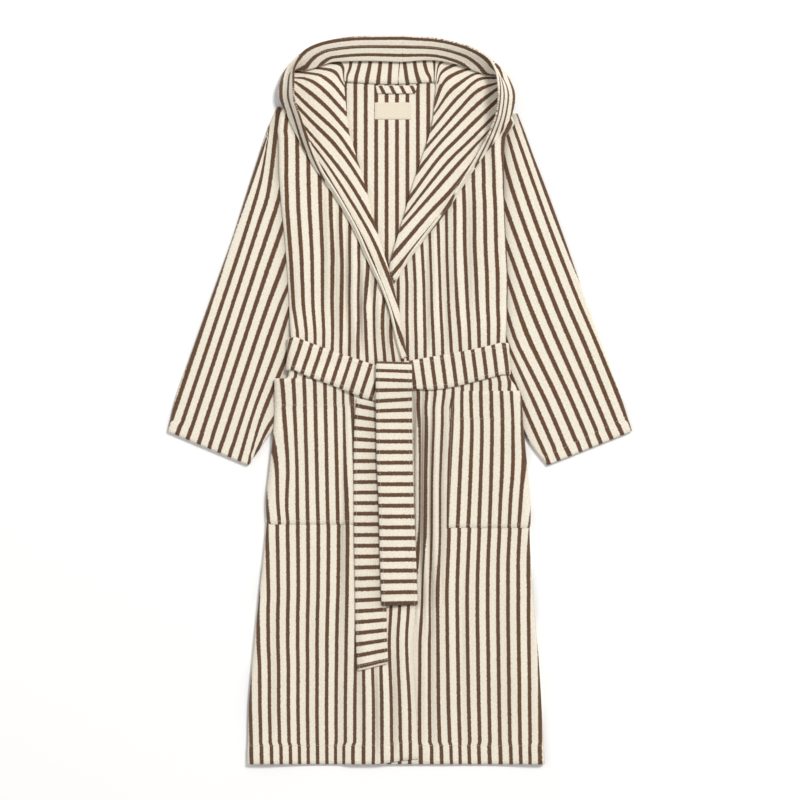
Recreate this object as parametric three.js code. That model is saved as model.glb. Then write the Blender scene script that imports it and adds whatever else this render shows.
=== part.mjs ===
// Hooded bathrobe in striped terry cloth, laid flat on its back with its belt tied.
//
// The robe lies as a maker would lay it out: the back panel on the surface, the two
// sleeves beside it with their inner edges under the fronts, the right front, the left
// front lapped over it, and on top the pockets, the two halves of the hood with their
// collar, and the belt. Every piece is a wall of cloth of its real thickness. Pieces that
// are sewn together stand a seam gap apart.
//
// Plan positions are read on a square grid laid over the garment, x to the right and y
// towards the hem, and onPlan() turns them into millimetres. Heights are in millimetres
// above the surface. "Left" and "right" are those of someone looking down at the robe.

import * as THREE from "three";

// Driving dimensions, in millimetres.
const NAPE_TO_HEM = 1186;
const CLOTH = 2.6; // one ply of terry
const SEAM_GAP = 0.3; // between pieces that are sewn edge to edge
const PLY_GAP = 0.6; // between plies that lie on each other
const BELT_CLOTH = 4.6; // the belt is a folded strip, two plies thick
const LABEL_CLOTH = 0.8;
const LOOP_CLOTH = 2.2;
const FRONT_HEIGHT = 5.7; // mid-ply height of a front where it lies on the back
const SLEEVE_HEIGHT = 8.4; // both plies of a sleeve
const SIDE_FOLD_WIDTH = 6.5; // how far in from the side a front takes to turn down
const SLEEVE_SIDE_RISE = 8.6; // what the sleeve lifts the side of a front by
const HEM_SIDE_RISE = 4.6; // what the fold lifts it by where there is no sleeve
const LAP_RISE = 4.4; // what the right front lifts the left front by
const COLLAR_LAP_RISE = 9.2; // and where the end of the right collar lies between them
const BELT_RISE = 5.4; // what the belt behind the back lifts everything by

// The grid: the nape and the hem give its scale, and the middle of the laid garment is
// the origin.
const NAPE_Y = 85;
const HEM_Y = 763;
const MM_PER_STEP = NAPE_TO_HEM / (HEM_Y - NAPE_Y);
const MIDDLE = { x: 399.74, y: 399.76 };

const onPlan = (x, y, height) =>
  new THREE.Vector3(
    (x - MIDDLE.x) * MM_PER_STEP,
    (MIDDLE.y - y) * MM_PER_STEP,
    height,
  );
const steps = (millimetres) => millimetres / MM_PER_STEP;

// Smooth steps and bumps from 0 to 1.
const clamp01 = (t) => Math.min(1, Math.max(0, t));
const ease = (t) => clamp01(t) ** 2 * (3 - 2 * clamp01(t));
const mix = (a, b, t) => a + (b - a) * t;
const plateau = (value, low, high, fade) =>
  ease((value - low) / fade + 1) * ease((high - value) / fade + 1);

// A table from the names of its columns and its rows of numbers.
const table = (columns, ...rows) =>
  rows.map((row) => Object.fromEntries(columns.split(" ").map((name, k) => [name, row[k]])));

// Reads a table at a value of its key column, each other column by a smooth curve through
// its rows that doesn't overshoot them.
function readTable(rows, key, value) {
  const at = rows.map((row) => row[key]);
  const last = rows.length - 1;
  const v = Math.min(at[last], Math.max(at[0], value));
  let i = 0;
  while (i < last - 1 && v > at[i + 1]) i += 1;
  const width = at[i + 1] - at[i];
  const t = (v - at[i]) / width;
  const read = {};
  for (const column of Object.keys(rows[0])) {
    const y = rows.map((row) => row[column]);
    const slope = (k) => (y[k + 1] - y[k]) / (at[k + 1] - at[k]);
    const tangent = (k) => {
      if (k === 0) return slope(0);
      if (k === last) return slope(last - 1);
      const before = slope(k - 1);
      const after = slope(k);
      return before * after <= 0 ? 0 : (2 * before * after) / (before + after);
    };
    const a = y[i];
    const b = y[i + 1];
    const da = tangent(i) * width;
    const db = tangent(i + 1) * width;
    read[column] =
      a + t * (da + t * (3 * (b - a) - 2 * da - db + t * (2 * (a - b) + da + db)));
  }
  return read;
}

// The sides of the body, where the cloth folds round to the back.
const SIDES = [
  { y: 84, left: 300, right: 496 },
  { y: 103, left: 281, right: 508 },
  { y: 118, left: 279, right: 513.5 },
  { y: 128, left: 278.2, right: 509 },
  { y: 136, left: 279, right: 505 },
  { y: 165, left: 279.5, right: 503 },
  { y: 200, left: 281.5, right: 503.5 },
  { y: 240, left: 285.5, right: 505 },
  { y: 280, left: 288.5, right: 507 },
  { y: 320, left: 290.6, right: 506 },
  { y: 340, left: 291.6, right: 505 },
  { y: 368, left: 289.6, right: 506.4 },
  { y: 376, left: 289, right: 507 },
  { y: 385, left: 278.4, right: 514 },
  { y: 394, left: 277.5, right: 517.5 },
  { y: 430, left: 275.5, right: 521 },
  { y: 470, left: 271.5, right: 525.5 },
  { y: 510, left: 268.5, right: 528.5 },
  { y: 540, left: 266, right: 529 },
  { y: 600, left: 259.5, right: 533 },
  { y: 660, left: 253.5, right: 538 },
  { y: 710, left: 249.5, right: 541 },
  { y: 763, left: 248.5, right: 543.5 },
];

// The open edge of each front: the neckline, then the front edge down to the hem. The
// right one goes under the left front at the bottom of the neckline.
const LEFT_OPENING = [
  { y: 86, x: 342 },
  { y: 108, x: 343 },
  { y: 130, x: 345.5 },
  { y: 150, x: 351 },
  { y: 180, x: 360.5 },
  { y: 220, x: 370.5 },
  { y: 250, x: 379.5 },
  { y: 280, x: 388.5 },
  { y: 310, x: 395.5 },
  { y: 340, x: 401.5 },
  { y: 366, x: 407 },
  { y: 400, x: 412 },
  { y: 500, x: 414 },
  { y: 600, x: 415.5 },
  { y: 645, x: 412.5 },
  { y: 700, x: 415 },
  { y: 763, x: 418 },
];
const RIGHT_OPENING = [
  { y: 86, x: 438.5 },
  { y: 112, x: 437 },
  { y: 128, x: 434.5 },
  { y: 142, x: 430.5 },
  { y: 160, x: 424.5 },
  { y: 190, x: 414.5 },
  { y: 220, x: 406 },
  { y: 250, x: 396.5 },
  { y: 285, x: 386 },
  { y: 330, x: 370 },
  { y: 380, x: 361 },
  { y: 500, x: 357 },
  { y: 763, x: 356 },
];

// The waist, where the belt runs round the body and under its back.
const WAIST = { top: 334, bottom: 378, fade: 34 };

const sideOf = (y) => readTable(SIDES, "y", y);
const leftOpening = (y) => readTable(LEFT_OPENING, "y", y).x;
const rightOpening = (y) => readTable(RIGHT_OPENING, "y", y).x;
const waistRise = (y) => BELT_RISE * plateau(y, WAIST.top, WAIST.bottom, WAIST.fade);
const backHeight = (y) => CLOTH / 2 + waistRise(y);

// The largest folds in the fronts. Each is a soft ridge from one point to another, with
// its half width in grid steps and its height in millimetres.
const LEFT_FOLDS = [
  { x0: 340, y0: 205, x1: 344, y1: 345, half: 4, height: 2.6 },
  { x0: 352, y0: 240, x1: 362, y1: 350, half: 5, height: 3.2 },
  { x0: 368, y0: 275, x1: 371, y1: 355, half: 4, height: 2.8 },
  { x0: 378, y0: 290, x1: 387, y1: 352, half: 4, height: 2.4 },
  { x0: 348, y0: 395, x1: 346, y1: 610, half: 3.5, height: 2.6 },
  { x0: 360, y0: 640, x1: 367, y1: 745, half: 5, height: 2.4 },
  { x0: 398, y0: 620, x1: 405, y1: 740, half: 6, height: 2.6 },
];
const RIGHT_FOLDS = [
  { x0: 418, y0: 230, x1: 421, y1: 345, half: 4.5, height: 2.8 },
  { x0: 435, y0: 215, x1: 438, y1: 345, half: 5, height: 3.0 },
  { x0: 454, y0: 190, x1: 463, y1: 340, half: 6, height: 2.6 },
  { x0: 494, y0: 122, x1: 498, y1: 175, half: 4, height: 2.6 },
  { x0: 431, y0: 405, x1: 429, y1: 620, half: 3.5, height: 3.4 },
  { x0: 441, y0: 400, x1: 440, y1: 560, half: 4, height: 2.8 },
  { x0: 422, y0: 640, x1: 424, y1: 745, half: 4, height: 2.4 },
];

function foldHeight(folds, x, y) {
  let height = 0;
  for (const fold of folds) {
    const along = (y - fold.y0) / (fold.y1 - fold.y0);
    if (along <= 0 || along >= 1) continue;
    const away = (x - mix(fold.x0, fold.x1, along)) / fold.half;
    const fade = Math.sin(Math.PI * along) ** 0.6;
    height += fold.height * fade * Math.exp(-away * away);
  }
  return height;
}

// Mid-ply heights of the two fronts, before their folds.
const SIDE_REACH = 62; // how far in from the side, in grid steps, a front still slopes
const SLEEVE_END = { from: 428, to: 456 }; // where the sleeve stops lifting the side
function bedHeight(x, y) {
  const side = sideOf(y);
  const inward = Math.min(x - side.left, side.right - x);
  const bySleeve = 1 - ease((y - SLEEVE_END.from) / (SLEEVE_END.to - SLEEVE_END.from));
  const rise = mix(HEM_SIDE_RISE, SLEEVE_SIDE_RISE, bySleeve);
  return FRONT_HEIGHT + rise * (1 - ease(inward / SIDE_REACH)) + waistRise(y);
}
const LAP_CLIMB = { before: 18.4, over: 16 }; // how the left front climbs onto the right one
const LAP_START = { y: 215, fade: 40 };
const COLLAR_LAP = { low: 262, high: 300, fade: 34 };
function lapRise(x, y) {
  const atCollar = plateau(y, COLLAR_LAP.low, COLLAR_LAP.high, COLLAR_LAP.fade);
  const climbed = ease((x - rightOpening(y) + LAP_CLIMB.before) / LAP_CLIMB.over);
  const lapped = ease((y - LAP_START.y) / LAP_START.fade);
  return mix(LAP_RISE, COLLAR_LAP_RISE, atCollar) * climbed * lapped;
}
const leftHeight = (x, y) =>
  bedHeight(x, y) + lapRise(x, y) + foldHeight(LEFT_FOLDS, x, y);
const rightHeight = (x, y) => bedHeight(x, y) + foldHeight(RIGHT_FOLDS, x, y);

// A closed wall of cloth around a middle surface. place(u, v) gives a point of that
// surface, "across" lists the values of u and "along" those of v where it has a vertex. A
// ring joins its last column to its first, and leaves out u = 1.
const NEAR = 1e-3;
function faceNormal(place, u, v) {
  const alongU = place(Math.min(1, u + NEAR), v).sub(place(Math.max(0, u - NEAR), v));
  const alongV = place(u, Math.min(1, v + NEAR)).sub(place(u, Math.max(0, v - NEAR)));
  return alongU.cross(alongV).normalize();
}
function clothWall(place, across, along, thickness, ring = false) {
  const outer = [];
  const inner = [];
  for (const v of along)
    for (const u of across) {
      const point = place(u, v);
      const half = faceNormal(place, u, v).multiplyScalar(thickness / 2);
      outer.push(point.clone().add(half));
      inner.push(point.clone().sub(half));
    }
  const points = [...outer, ...inner];
  const below = outer.length;
  const faces = [];
  const quad = (a, b, c, d) => faces.push(a, b, c, a, c, d);
  const columns = ring ? across.length : across.length - 1;
  const rows = along.length - 1;
  const id = (i, j) => j * across.length + (i % across.length);
  for (let j = 0; j < rows; j += 1)
    for (let i = 0; i < columns; i += 1) {
      quad(id(i, j), id(i + 1, j), id(i + 1, j + 1), id(i, j + 1));
      quad(below + id(i, j), below + id(i, j + 1), below + id(i + 1, j + 1), below + id(i + 1, j));
    }
  for (let i = 0; i < columns; i += 1) {
    quad(below + id(i, 0), below + id(i + 1, 0), id(i + 1, 0), id(i, 0));
    quad(id(i, rows), id(i + 1, rows), below + id(i + 1, rows), below + id(i, rows));
  }
  if (!ring)
    for (let j = 0; j < rows; j += 1) {
      quad(id(0, j), id(0, j + 1), below + id(0, j + 1), below + id(0, j));
      quad(below + id(columns, j), below + id(columns, j + 1), id(columns, j + 1), id(columns, j));
    }
  const geometry = new THREE.BufferGeometry();
  geometry.setAttribute(
    "position",
    new THREE.Float32BufferAttribute(points.flatMap((p) => [p.x, p.y, p.z]), 3),
  );
  geometry.setIndex(faces);
  geometry.computeVertexNormals();
  return geometry;
}

// Stops for the wall's grid: from each value to the next in a given number of steps.
function stops(values, counts) {
  const list = [values[0]];
  counts.forEach((count, k) => {
    for (let i = 1; i <= count; i += 1) list.push(mix(values[k], values[k + 1], i / count));
  });
  return list;
}
const evenly = (count) => stops([0, 1], [count]);

// Terry in cream with brown stripes: the solids carry the mean colour of each piece.
const striped = () =>
  new THREE.MeshStandardMaterial({ color: 0xc9b9a6, roughness: 0.95, metalness: 0 });
const labelCloth = () =>
  new THREE.MeshStandardMaterial({ color: 0xf3e6d0, roughness: 0.8, metalness: 0 });

const robe = new THREE.Group();
function addPiece(name, geometry, material = striped()) {
  const mesh = new THREE.Mesh(geometry, material);
  mesh.name = name;
  robe.add(mesh);
}

// The back panel. Beside the sleeves its edge is flat and hidden under the front. Below
// them it curls up to meet the front at the side fold.
const BACK_EDGES = [
  { y: 84.6, left: 345, right: 435, curl: 0 },
  { y: 96, left: 322, right: 466, curl: 0 },
  { y: 112, left: 303, right: 485, curl: 0 },
  { y: 300, left: 303, right: 486, curl: 0 },
  { y: 334, left: 315, right: 478, curl: 0 },
  { y: 378, left: 315, right: 478, curl: 0 },
  { y: 395, left: 303, right: 488, curl: 0 },
  { y: 414, left: 292, right: 505, curl: 0 },
  { y: 436, left: 276.5, right: 520.2, curl: 0.6 },
  { y: 448, left: 273.8, right: 523, curl: 1 },
  { y: 763, left: 248.5, right: 543.5, curl: 1 },
];
const SEAM_HEIGHT = 6.2; // where a front meets the back at the side fold
const foldWidth = steps(SIDE_FOLD_WIDTH);

// A quarter turn: t from 0 at the outermost point to 1 where the cloth lies flat.
const turn = (t) => ({
  inward: foldWidth * (1 - Math.cos((t * Math.PI) / 2)),
  up: Math.sin((t * Math.PI) / 2),
});
const TURN_SHARE = 0.12; // the share of a section that makes the turn

function backPlace(u, v) {
  const y = mix(HEM_Y, BACK_EDGES[0].y, v);
  const edge = readTable(BACK_EDGES, "y", y);
  const side = sideOf(y);
  const left = mix(edge.left, side.left, edge.curl);
  const right = mix(edge.right, side.right, edge.curl);
  const flat = backHeight(y);
  const lip = edge.curl * (SEAM_HEIGHT - SEAM_GAP / 2 - flat);
  const fromEdge = Math.min(u, 1 - u) / TURN_SHARE;
  if (fromEdge < 1) {
    const { inward, up } = turn(fromEdge);
    return onPlan(u < 0.5 ? left + inward : right - inward, y, flat + lip * (1 - up));
  }
  const t = (u - TURN_SHARE) / (1 - 2 * TURN_SHARE);
  return onPlan(mix(left + foldWidth, right - foldWidth, t), y, flat);
}
const rowOf = (top, bottom) => (y) => (bottom - y) / (bottom - top);
const BACK_ROWS = stops([763, 448, 412, 378, 334, 300, 96, 84.6], [5, 3, 3, 1, 3, 4, 1]);
addPiece(
  "back",
  clothWall(
    backPlace,
    stops([0, TURN_SHARE, 1 - TURN_SHARE, 1], [3, 5, 3]),
    BACK_ROWS.map(rowOf(BACK_EDGES[0].y, HEM_Y)),
    CLOTH,
  ),
);

// A line down each front that keeps to the inner edge of its pocket, so that the pocket is
// made from the front's own columns.
const POCKET_LINES = {
  left: [
    { y: 86, x: 306 },
    { y: 200, x: 324 },
    { y: 300, x: 342 },
    { y: 379, x: 349 },
    { y: 400, x: 352.5 },
    { y: 524, x: 354 },
    { y: 763, x: 352 },
  ],
  right: [
    { y: 86, x: 474 },
    { y: 200, x: 462 },
    { y: 300, x: 456 },
    { y: 391, x: 454 },
    { y: 410, x: 450.5 },
    { y: 527, x: 447 },
    { y: 763, x: 449 },
  ],
};
const POCKET_SHARE = 0.6; // the share of a front's section that the line stands at

// A front's section at height y: from the side fold across to the open edge.
const SLEEVE_CLEAR = 0.5; // how far the turned edge of a front stays above the sleeve
const FRONTS = {
  left: { top: 92, hem: HEM_Y, height: leftHeight, opening: leftOpening, drop: 12, inward: 1 },
  right: { top: 90, hem: HEM_Y, height: rightHeight, opening: rightOpening, drop: 10, inward: -1 },
};
const SHOULDER_FADE = 60; // grid steps below the shoulder seam over which its slope ends
const SHORT_CORNER = { by: 5, across: 0.72, above: 70 }; // the lapped corner hangs short
function frontPoint(hand, y, share) {
  const { top, height, opening, drop, inward } = FRONTS[hand];
  const side = sideOf(y)[hand];
  const bySleeve = 1 - ease((y - SLEEVE_END.from) / (SLEEVE_END.to - SLEEVE_END.from));
  const overSleeve = SLEEVE_HEIGHT + SLEEVE_CLEAR + waistRise(y);
  const low = mix(SEAM_HEIGHT + SEAM_GAP / 2, overSleeve, bySleeve);
  const flatFrom = side + inward * foldWidth;
  const pocketLine = readTable(POCKET_LINES[hand], "y", y).x;
  let x = side;
  let z = low;
  if (share < TURN_SHARE) {
    const fold = turn(share / TURN_SHARE);
    x = side + inward * fold.inward;
    z = mix(low, height(flatFrom, y), fold.up);
  } else {
    const toLine = (share - TURN_SHARE) / (POCKET_SHARE - TURN_SHARE);
    const toOpening = (share - POCKET_SHARE) / (1 - POCKET_SHARE);
    x = toLine < 1 ? mix(flatFrom, pocketLine, toLine) : mix(pocketLine, opening(y), toOpening);
    z = height(x, y);
  }
  const seamSlope = drop * (1 - share) * (1 - ease((y - top) / SHOULDER_FADE));
  const corner = ease((share - SHORT_CORNER.across) / (1 - SHORT_CORNER.across)) *
    ease((y - HEM_Y + SHORT_CORNER.above) / SHORT_CORNER.above);
  const short = hand === "left" ? SHORT_CORNER.by * corner : 0;
  return onPlan(x, y + seamSlope - short, z);
}

// Each front takes its rows from its pocket, so that the pocket lies on whole rows of it.
const POCKETS = {
  left: { top: 379, bottom: 524 },
  right: { top: 391.5, bottom: 527.5 },
};
const SECTION = {
  pocket: stops([0, TURN_SHARE, POCKET_SHARE], [4, 8]),
  whole: stops([0, TURN_SHARE, POCKET_SHARE, 1], [4, 8, 10]),
};
for (const hand of ["left", "right"]) {
  const { top, hem, inward } = FRONTS[hand];
  const pocket = POCKETS[hand];
  const rows = stops([hem, pocket.bottom, pocket.top, 376, 334, 300, 150, top], [7, 6, 1, 2, 2, 6, 4]);
  const pocketRows = rows.filter((y) => y <= pocket.bottom && y >= pocket.top);
  const row = rowOf(top, hem);
  const place = (u, v) => frontPoint(hand, mix(hem, top, v), inward > 0 ? u : 1 - u);
  const columns = (shares) => (inward > 0 ? shares : shares.map((share) => 1 - share).reverse());
  addPiece(`front_${hand}`, clothWall(place, columns(SECTION.whole), rows.map(row), CLOTH));

  const out = CLOTH + PLY_GAP;
  const onFront = (u, v) => place(u, v).add(faceNormal(place, u, v).multiplyScalar(out));
  addPiece(`pocket_${hand}`, clothWall(onFront, columns(SECTION.pocket), pocketRows.map(row), CLOTH));
}

// Sleeves: flattened tubes, open at the cuff. A row holds the outer edge and the inner
// edge, which runs in under the front above the waist.
const SLEEVES = {
  left: [
    { outerX: 168, outerY: 430.5, innerX: 249, innerY: 464.5 },
    { outerX: 176, outerY: 397, innerX: 261, innerY: 447.5 },
    { outerX: 191, outerY: 355, innerX: 275, innerY: 427 },
    { outerX: 213.5, outerY: 292, innerX: 293, innerY: 385 },
    { outerX: 233.5, outerY: 236, innerX: 297, innerY: 300 },
    { outerX: 249, outerY: 187, innerX: 298, innerY: 220 },
    { outerX: 260, outerY: 153, innerX: 298, innerY: 168 },
    { outerX: 268, outerY: 128.5, innerX: 299, innerY: 138 },
    { outerX: 277.5, outerY: 107, innerX: 302, innerY: 117 },
  ],
  right: [
    { outerX: 631.5, outerY: 430.5, innerX: 547, innerY: 464.5 },
    { outerX: 621, outerY: 397, innerX: 535, innerY: 450.5 },
    { outerX: 606, outerY: 355, innerX: 521, innerY: 427.5 },
    { outerX: 583, outerY: 292, innerX: 503, innerY: 385 },
    { outerX: 563, outerY: 235, innerX: 497, innerY: 300 },
    { outerX: 545, outerY: 186, innerX: 493, innerY: 220 },
    { outerX: 533, outerY: 155, innerX: 491, innerY: 170 },
    { outerX: 525, outerY: 133, innerX: 491.5, innerY: 137 },
    { outerX: 517.5, outerY: 114, innerX: 492, innerY: 117 },
  ],
};
const numbered = (rows) => rows.map((row, index) => ({ ...row, index }));
const readRow = (rows, share) => readTable(numbered(rows), "index", share * (rows.length - 1));

// Half the ring of a flat oval, in 0 to 1: a round side, then a straight one.
const ROUND_SHARE = 0.3;
function sleevePlace(rows, u, v) {
  const row = readRow(rows, v);
  const outer = onPlan(row.outerX, row.outerY, SLEEVE_HEIGHT / 2);
  const inner = onPlan(row.innerX, row.innerY, SLEEVE_HEIGHT / 2);
  const middle = outer.clone().lerp(inner, 0.5);
  const across = inner.clone().sub(outer);
  const round = (SLEEVE_HEIGHT - CLOTH) / 2;
  const reach = across.length() / 2 - round - CLOTH / 2;
  const half = u < 0.5 ? 1 : -1;
  const t = (u * 2) % 1;
  const angle = Math.PI * (t / ROUND_SHARE - 0.5);
  const isRound = t < ROUND_SHARE;
  const sideways = isRound
    ? reach + round * Math.cos(angle)
    : mix(reach, -reach, (t - ROUND_SHARE) / (1 - ROUND_SHARE));
  const up = isRound ? round * Math.sin(angle) : round;
  return middle
    .add(across.normalize().multiplyScalar(half * sideways))
    .add(new THREE.Vector3(0, 0, half * up));
}
const HALF_RING = stops([0, ROUND_SHARE / 2, 0.5], [4, 6]);
const RING = [...HALF_RING, ...HALF_RING.slice(1).map((u) => u + 0.5)].slice(0, -1);
for (const hand of ["left", "right"]) {
  const place = (u, v) => sleevePlace(SLEEVES[hand], hand === "left" ? u : 1 - u, v);
  const ring = hand === "left" ? RING : RING.map((u) => 1 - u).reverse();
  addPiece(`sleeve_${hand}`, clothWall(place, ring, evenly(12), CLOTH, true));
}

// The hood and collar. A row is a section from the seam, where the piece is sewn to the
// neckline or the back of the neck, out to the fold that makes the outline, and back in to
// the rim. "crease" is where the standing wall of the hood meets its floor, "tuck" how far
// the cloth is folded in under that wall, and "rimUp" the height of the rim above the
// floor. "roll" is how far the collar rolls over its seam. "neck" is 1 where the seam is the
// back neck's, at seamX, and 0 where it is the opening of the front.
const HOOD_COLUMNS =
  "seamX seamY outX outY creaseX creaseY rimX rimY rimUp roll tuck neck";
const HOOD = {
  left: table(
    HOOD_COLUMNS,
    [405.4, 356.4, 402.4, 358.4, 402.4, 358.4, 402.8, 358.2, 3.2, 0.4, 0, 0],
    [402.6, 338, 397.5, 342, 397.5, 342, 398, 341.6, 3.4, 0.6, 0, 0],
    [396.2, 310, 390.5, 314, 390.5, 314, 391.4, 313.4, 3.8, 1, 0, 0],
    [389.2, 280, 380.5, 287, 380.5, 287, 382, 286, 4.4, 1, 0, 0],
    [380.2, 250, 367, 258, 367, 258, 369, 257, 5, 1, 0, 0],
    [371, 220, 354.5, 230, 354.5, 230, 356.6, 229, 5.6, 1, 0, 0],
    [361, 180, 334.5, 195, 334.5, 195, 336.8, 194, 6.6, 1, 0, 0],
    [352.5, 153, 318.5, 172, 318.5, 172, 322, 170.5, 9, 1, 0, 0],
    [346.2, 130, 304, 148.5, 304, 148.5, 311.5, 147.5, 15, 1, 0, 0],
    [343.8, 110, 289, 118, 289, 118, 300.8, 119, 26, 1, 0, 0],
    [343.2, 94, 279.5, 94, 279.5, 94, 294.2, 96, 34, 0.7, 0, 0.1],
    [345.5, 81.6, 283, 76, 286, 77, 294.2, 75.5, 38, 0, 0.12, 0.9],
    [354, 81.2, 301, 54, 311, 70.5, 302.5, 55, 36, 0, 0.85, 1],
    [365, 81.2, 326, 43.2, 336, 61.5, 326, 43.2, 29, 0, 1, 1],
    [381, 81.2, 362, 38, 368, 60.8, 362, 38, 24, 0, 1, 1],
    [397.6, 81.2, 402.9, 37.2, 401.4, 61.8, 402.9, 37.2, 23, 0, 1, 1],
  ),
  right: table(
    HOOD_COLUMNS,
    [391.6, 272, 395, 282, 395, 282, 394.6, 281.4, 1.6, 0.5, 0, 0],
    [397, 254, 408, 260.5, 408, 260.5, 406.5, 259.5, 3.4, 0.8, 0, 0],
    [404.8, 226, 426, 236.5, 426, 236.5, 424.2, 235.5, 4.4, 1, 0, 0],
    [412.5, 196, 447.5, 209, 447.5, 209, 445.6, 208, 5.4, 1, 0, 0],
    [421.5, 168, 465.5, 181, 465.5, 181, 463, 180, 7, 1, 0, 0],
    [429.5, 144, 483, 156, 483, 156, 478.5, 154, 12, 1, 0, 0],
    [434.5, 126, 498.5, 136, 498.5, 136, 489.5, 133, 23, 1, 0, 0],
    [436.5, 109, 511.5, 114, 511.5, 114, 496, 114, 36, 1, 0, 0],
    [436.8, 93, 514.5, 98, 514.5, 98, 498, 96, 44, 0.7, 0, 0.1],
    [434, 81.6, 509, 80.5, 505, 82, 497, 80, 46, 0, 0.12, 0.9],
    [428, 81.2, 493.5, 62, 484, 75.5, 491, 62.5, 42, 0, 0.85, 1],
    [422, 81.2, 468, 47.8, 458, 64.5, 467.5, 48, 33, 0, 1, 1],
    [412, 81.2, 436, 40, 430, 60, 436, 40, 26, 0, 1, 1],
    [397.95, 81.2, 403.25, 37.2, 401.75, 61.8, 403.25, 37.2, 23, 0, 1, 1],
  ),
};
const ROLL_REACH = 2.6; // grid steps by which the collar rolls out past its seam
const COLLAR_GAP = 2.2; // millimetres between the front's ply and the collar's
const TUCK_LAYER = CLOTH + 3; // between the mid-plies of the cloth tucked under the wall
const FLOOR_CLEAR = 1.2; // between the surface and the hood beyond the shoulders
const SHOULDER_LINE = { from: 64, to: 91 }; // where the hood's floor climbs on the body
const NECK_LIFT = 0.5; // how far the neck seam stands above the back's middle
const ROLL_UP = 0.45; // how far up to the floor the collar's roll stands out most
const SEAM_BEND = 3; // grid steps from the seam to where the floor starts
const FOLD_BEND = 2.2; // and from the outer fold to where it ends
const LEAST_WALL = 2;
const FOLD_UP = 0.2; // how far an open outer fold stands above the floor
function collarBed(hand, x, y) {
  const { top, height } = FRONTS[hand];
  const onBody = ease((y - SHOULDER_LINE.from) / (SHOULDER_LINE.to - SHOULDER_LINE.from));
  const body = height(x, Math.max(y, top)) + CLOTH + COLLAR_GAP;
  return mix(CLOTH / 2 + FLOOR_CLEAR, body, onBody);
}
function hoodSection(hand, v) {
  const { inward, opening } = FRONTS[hand];
  const row = readRow(HOOD[hand], v);
  row.seamX = mix(opening(row.seamY), row.seamX, row.neck);
  const floorUp = collarBed(hand, row.seamX, row.seamY);
  const seamUp = mix(floorUp - CLOTH - COLLAR_GAP, CLOTH / 2 + NECK_LIFT, row.neck);
  const floorPoint = (t) => {
    const x = mix(row.seamX, row.outX, t);
    const y = mix(row.seamY, row.outY, t);
    return onPlan(x, y, collarBed(hand, x, y));
  };
  const base = collarBed(hand, row.outX, row.outY);
  const length = Math.hypot(row.outX - row.seamX, row.outY - row.seamY);
  const wall = (t, drop = 0) => {
    const foot = base + 2 * TUCK_LAYER * row.tuck;
    const top = Math.max(base + row.rimUp, foot + LEAST_WALL);
    return onPlan(
      mix(row.creaseX, row.rimX, t),
      mix(row.creaseY, row.rimY, t),
      mix(foot, top, t) - drop,
    );
  };
  const tucked = (t) =>
    onPlan(
      mix(row.outX, row.creaseX, t),
      mix(row.outY, row.creaseY, t),
      base + TUCK_LAYER,
    );
  const foldUp = base + mix(FOLD_UP, TUCK_LAYER / 2, row.tuck);
  const seamX = row.seamX + inward * steps(CLOTH / 2 + SEAM_GAP) * (1 - row.neck);
  const rollX = row.seamX + inward * ROLL_REACH * row.roll;
  return [
    onPlan(seamX, row.seamY, seamUp),
    onPlan(rollX, row.seamY, mix(seamUp, floorUp, ROLL_UP)),
    floorPoint(Math.min(0.12, SEAM_BEND / length)),
    floorPoint(0.5),
    floorPoint(1 - Math.min(0.4, FOLD_BEND / length)),
    onPlan(row.outX, row.outY, foldUp),
    wall(0.3).lerp(tucked(0.3), row.tuck),
    wall(0.5).lerp(tucked(0.85), row.tuck),
    wall(0.62).lerp(wall(0, TUCK_LAYER / 2), row.tuck),
    wall(0.8).lerp(wall(0.25), row.tuck),
    wall(1),
  ];
}
for (const hand of ["left", "right"]) {
  const sections = new Map();
  const sectionAt = (v) => {
    if (!sections.has(v))
      sections.set(v, new THREE.CatmullRomCurve3(hoodSection(hand, v), false, "centripetal"));
    return sections.get(v);
  };
  const place = (u, v) => sectionAt(v).getPoint(hand === "left" ? 1 - u : u);
  addPiece(`hood_${hand}`, clothWall(place, evenly(20), evenly(26), CLOTH));
}

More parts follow.
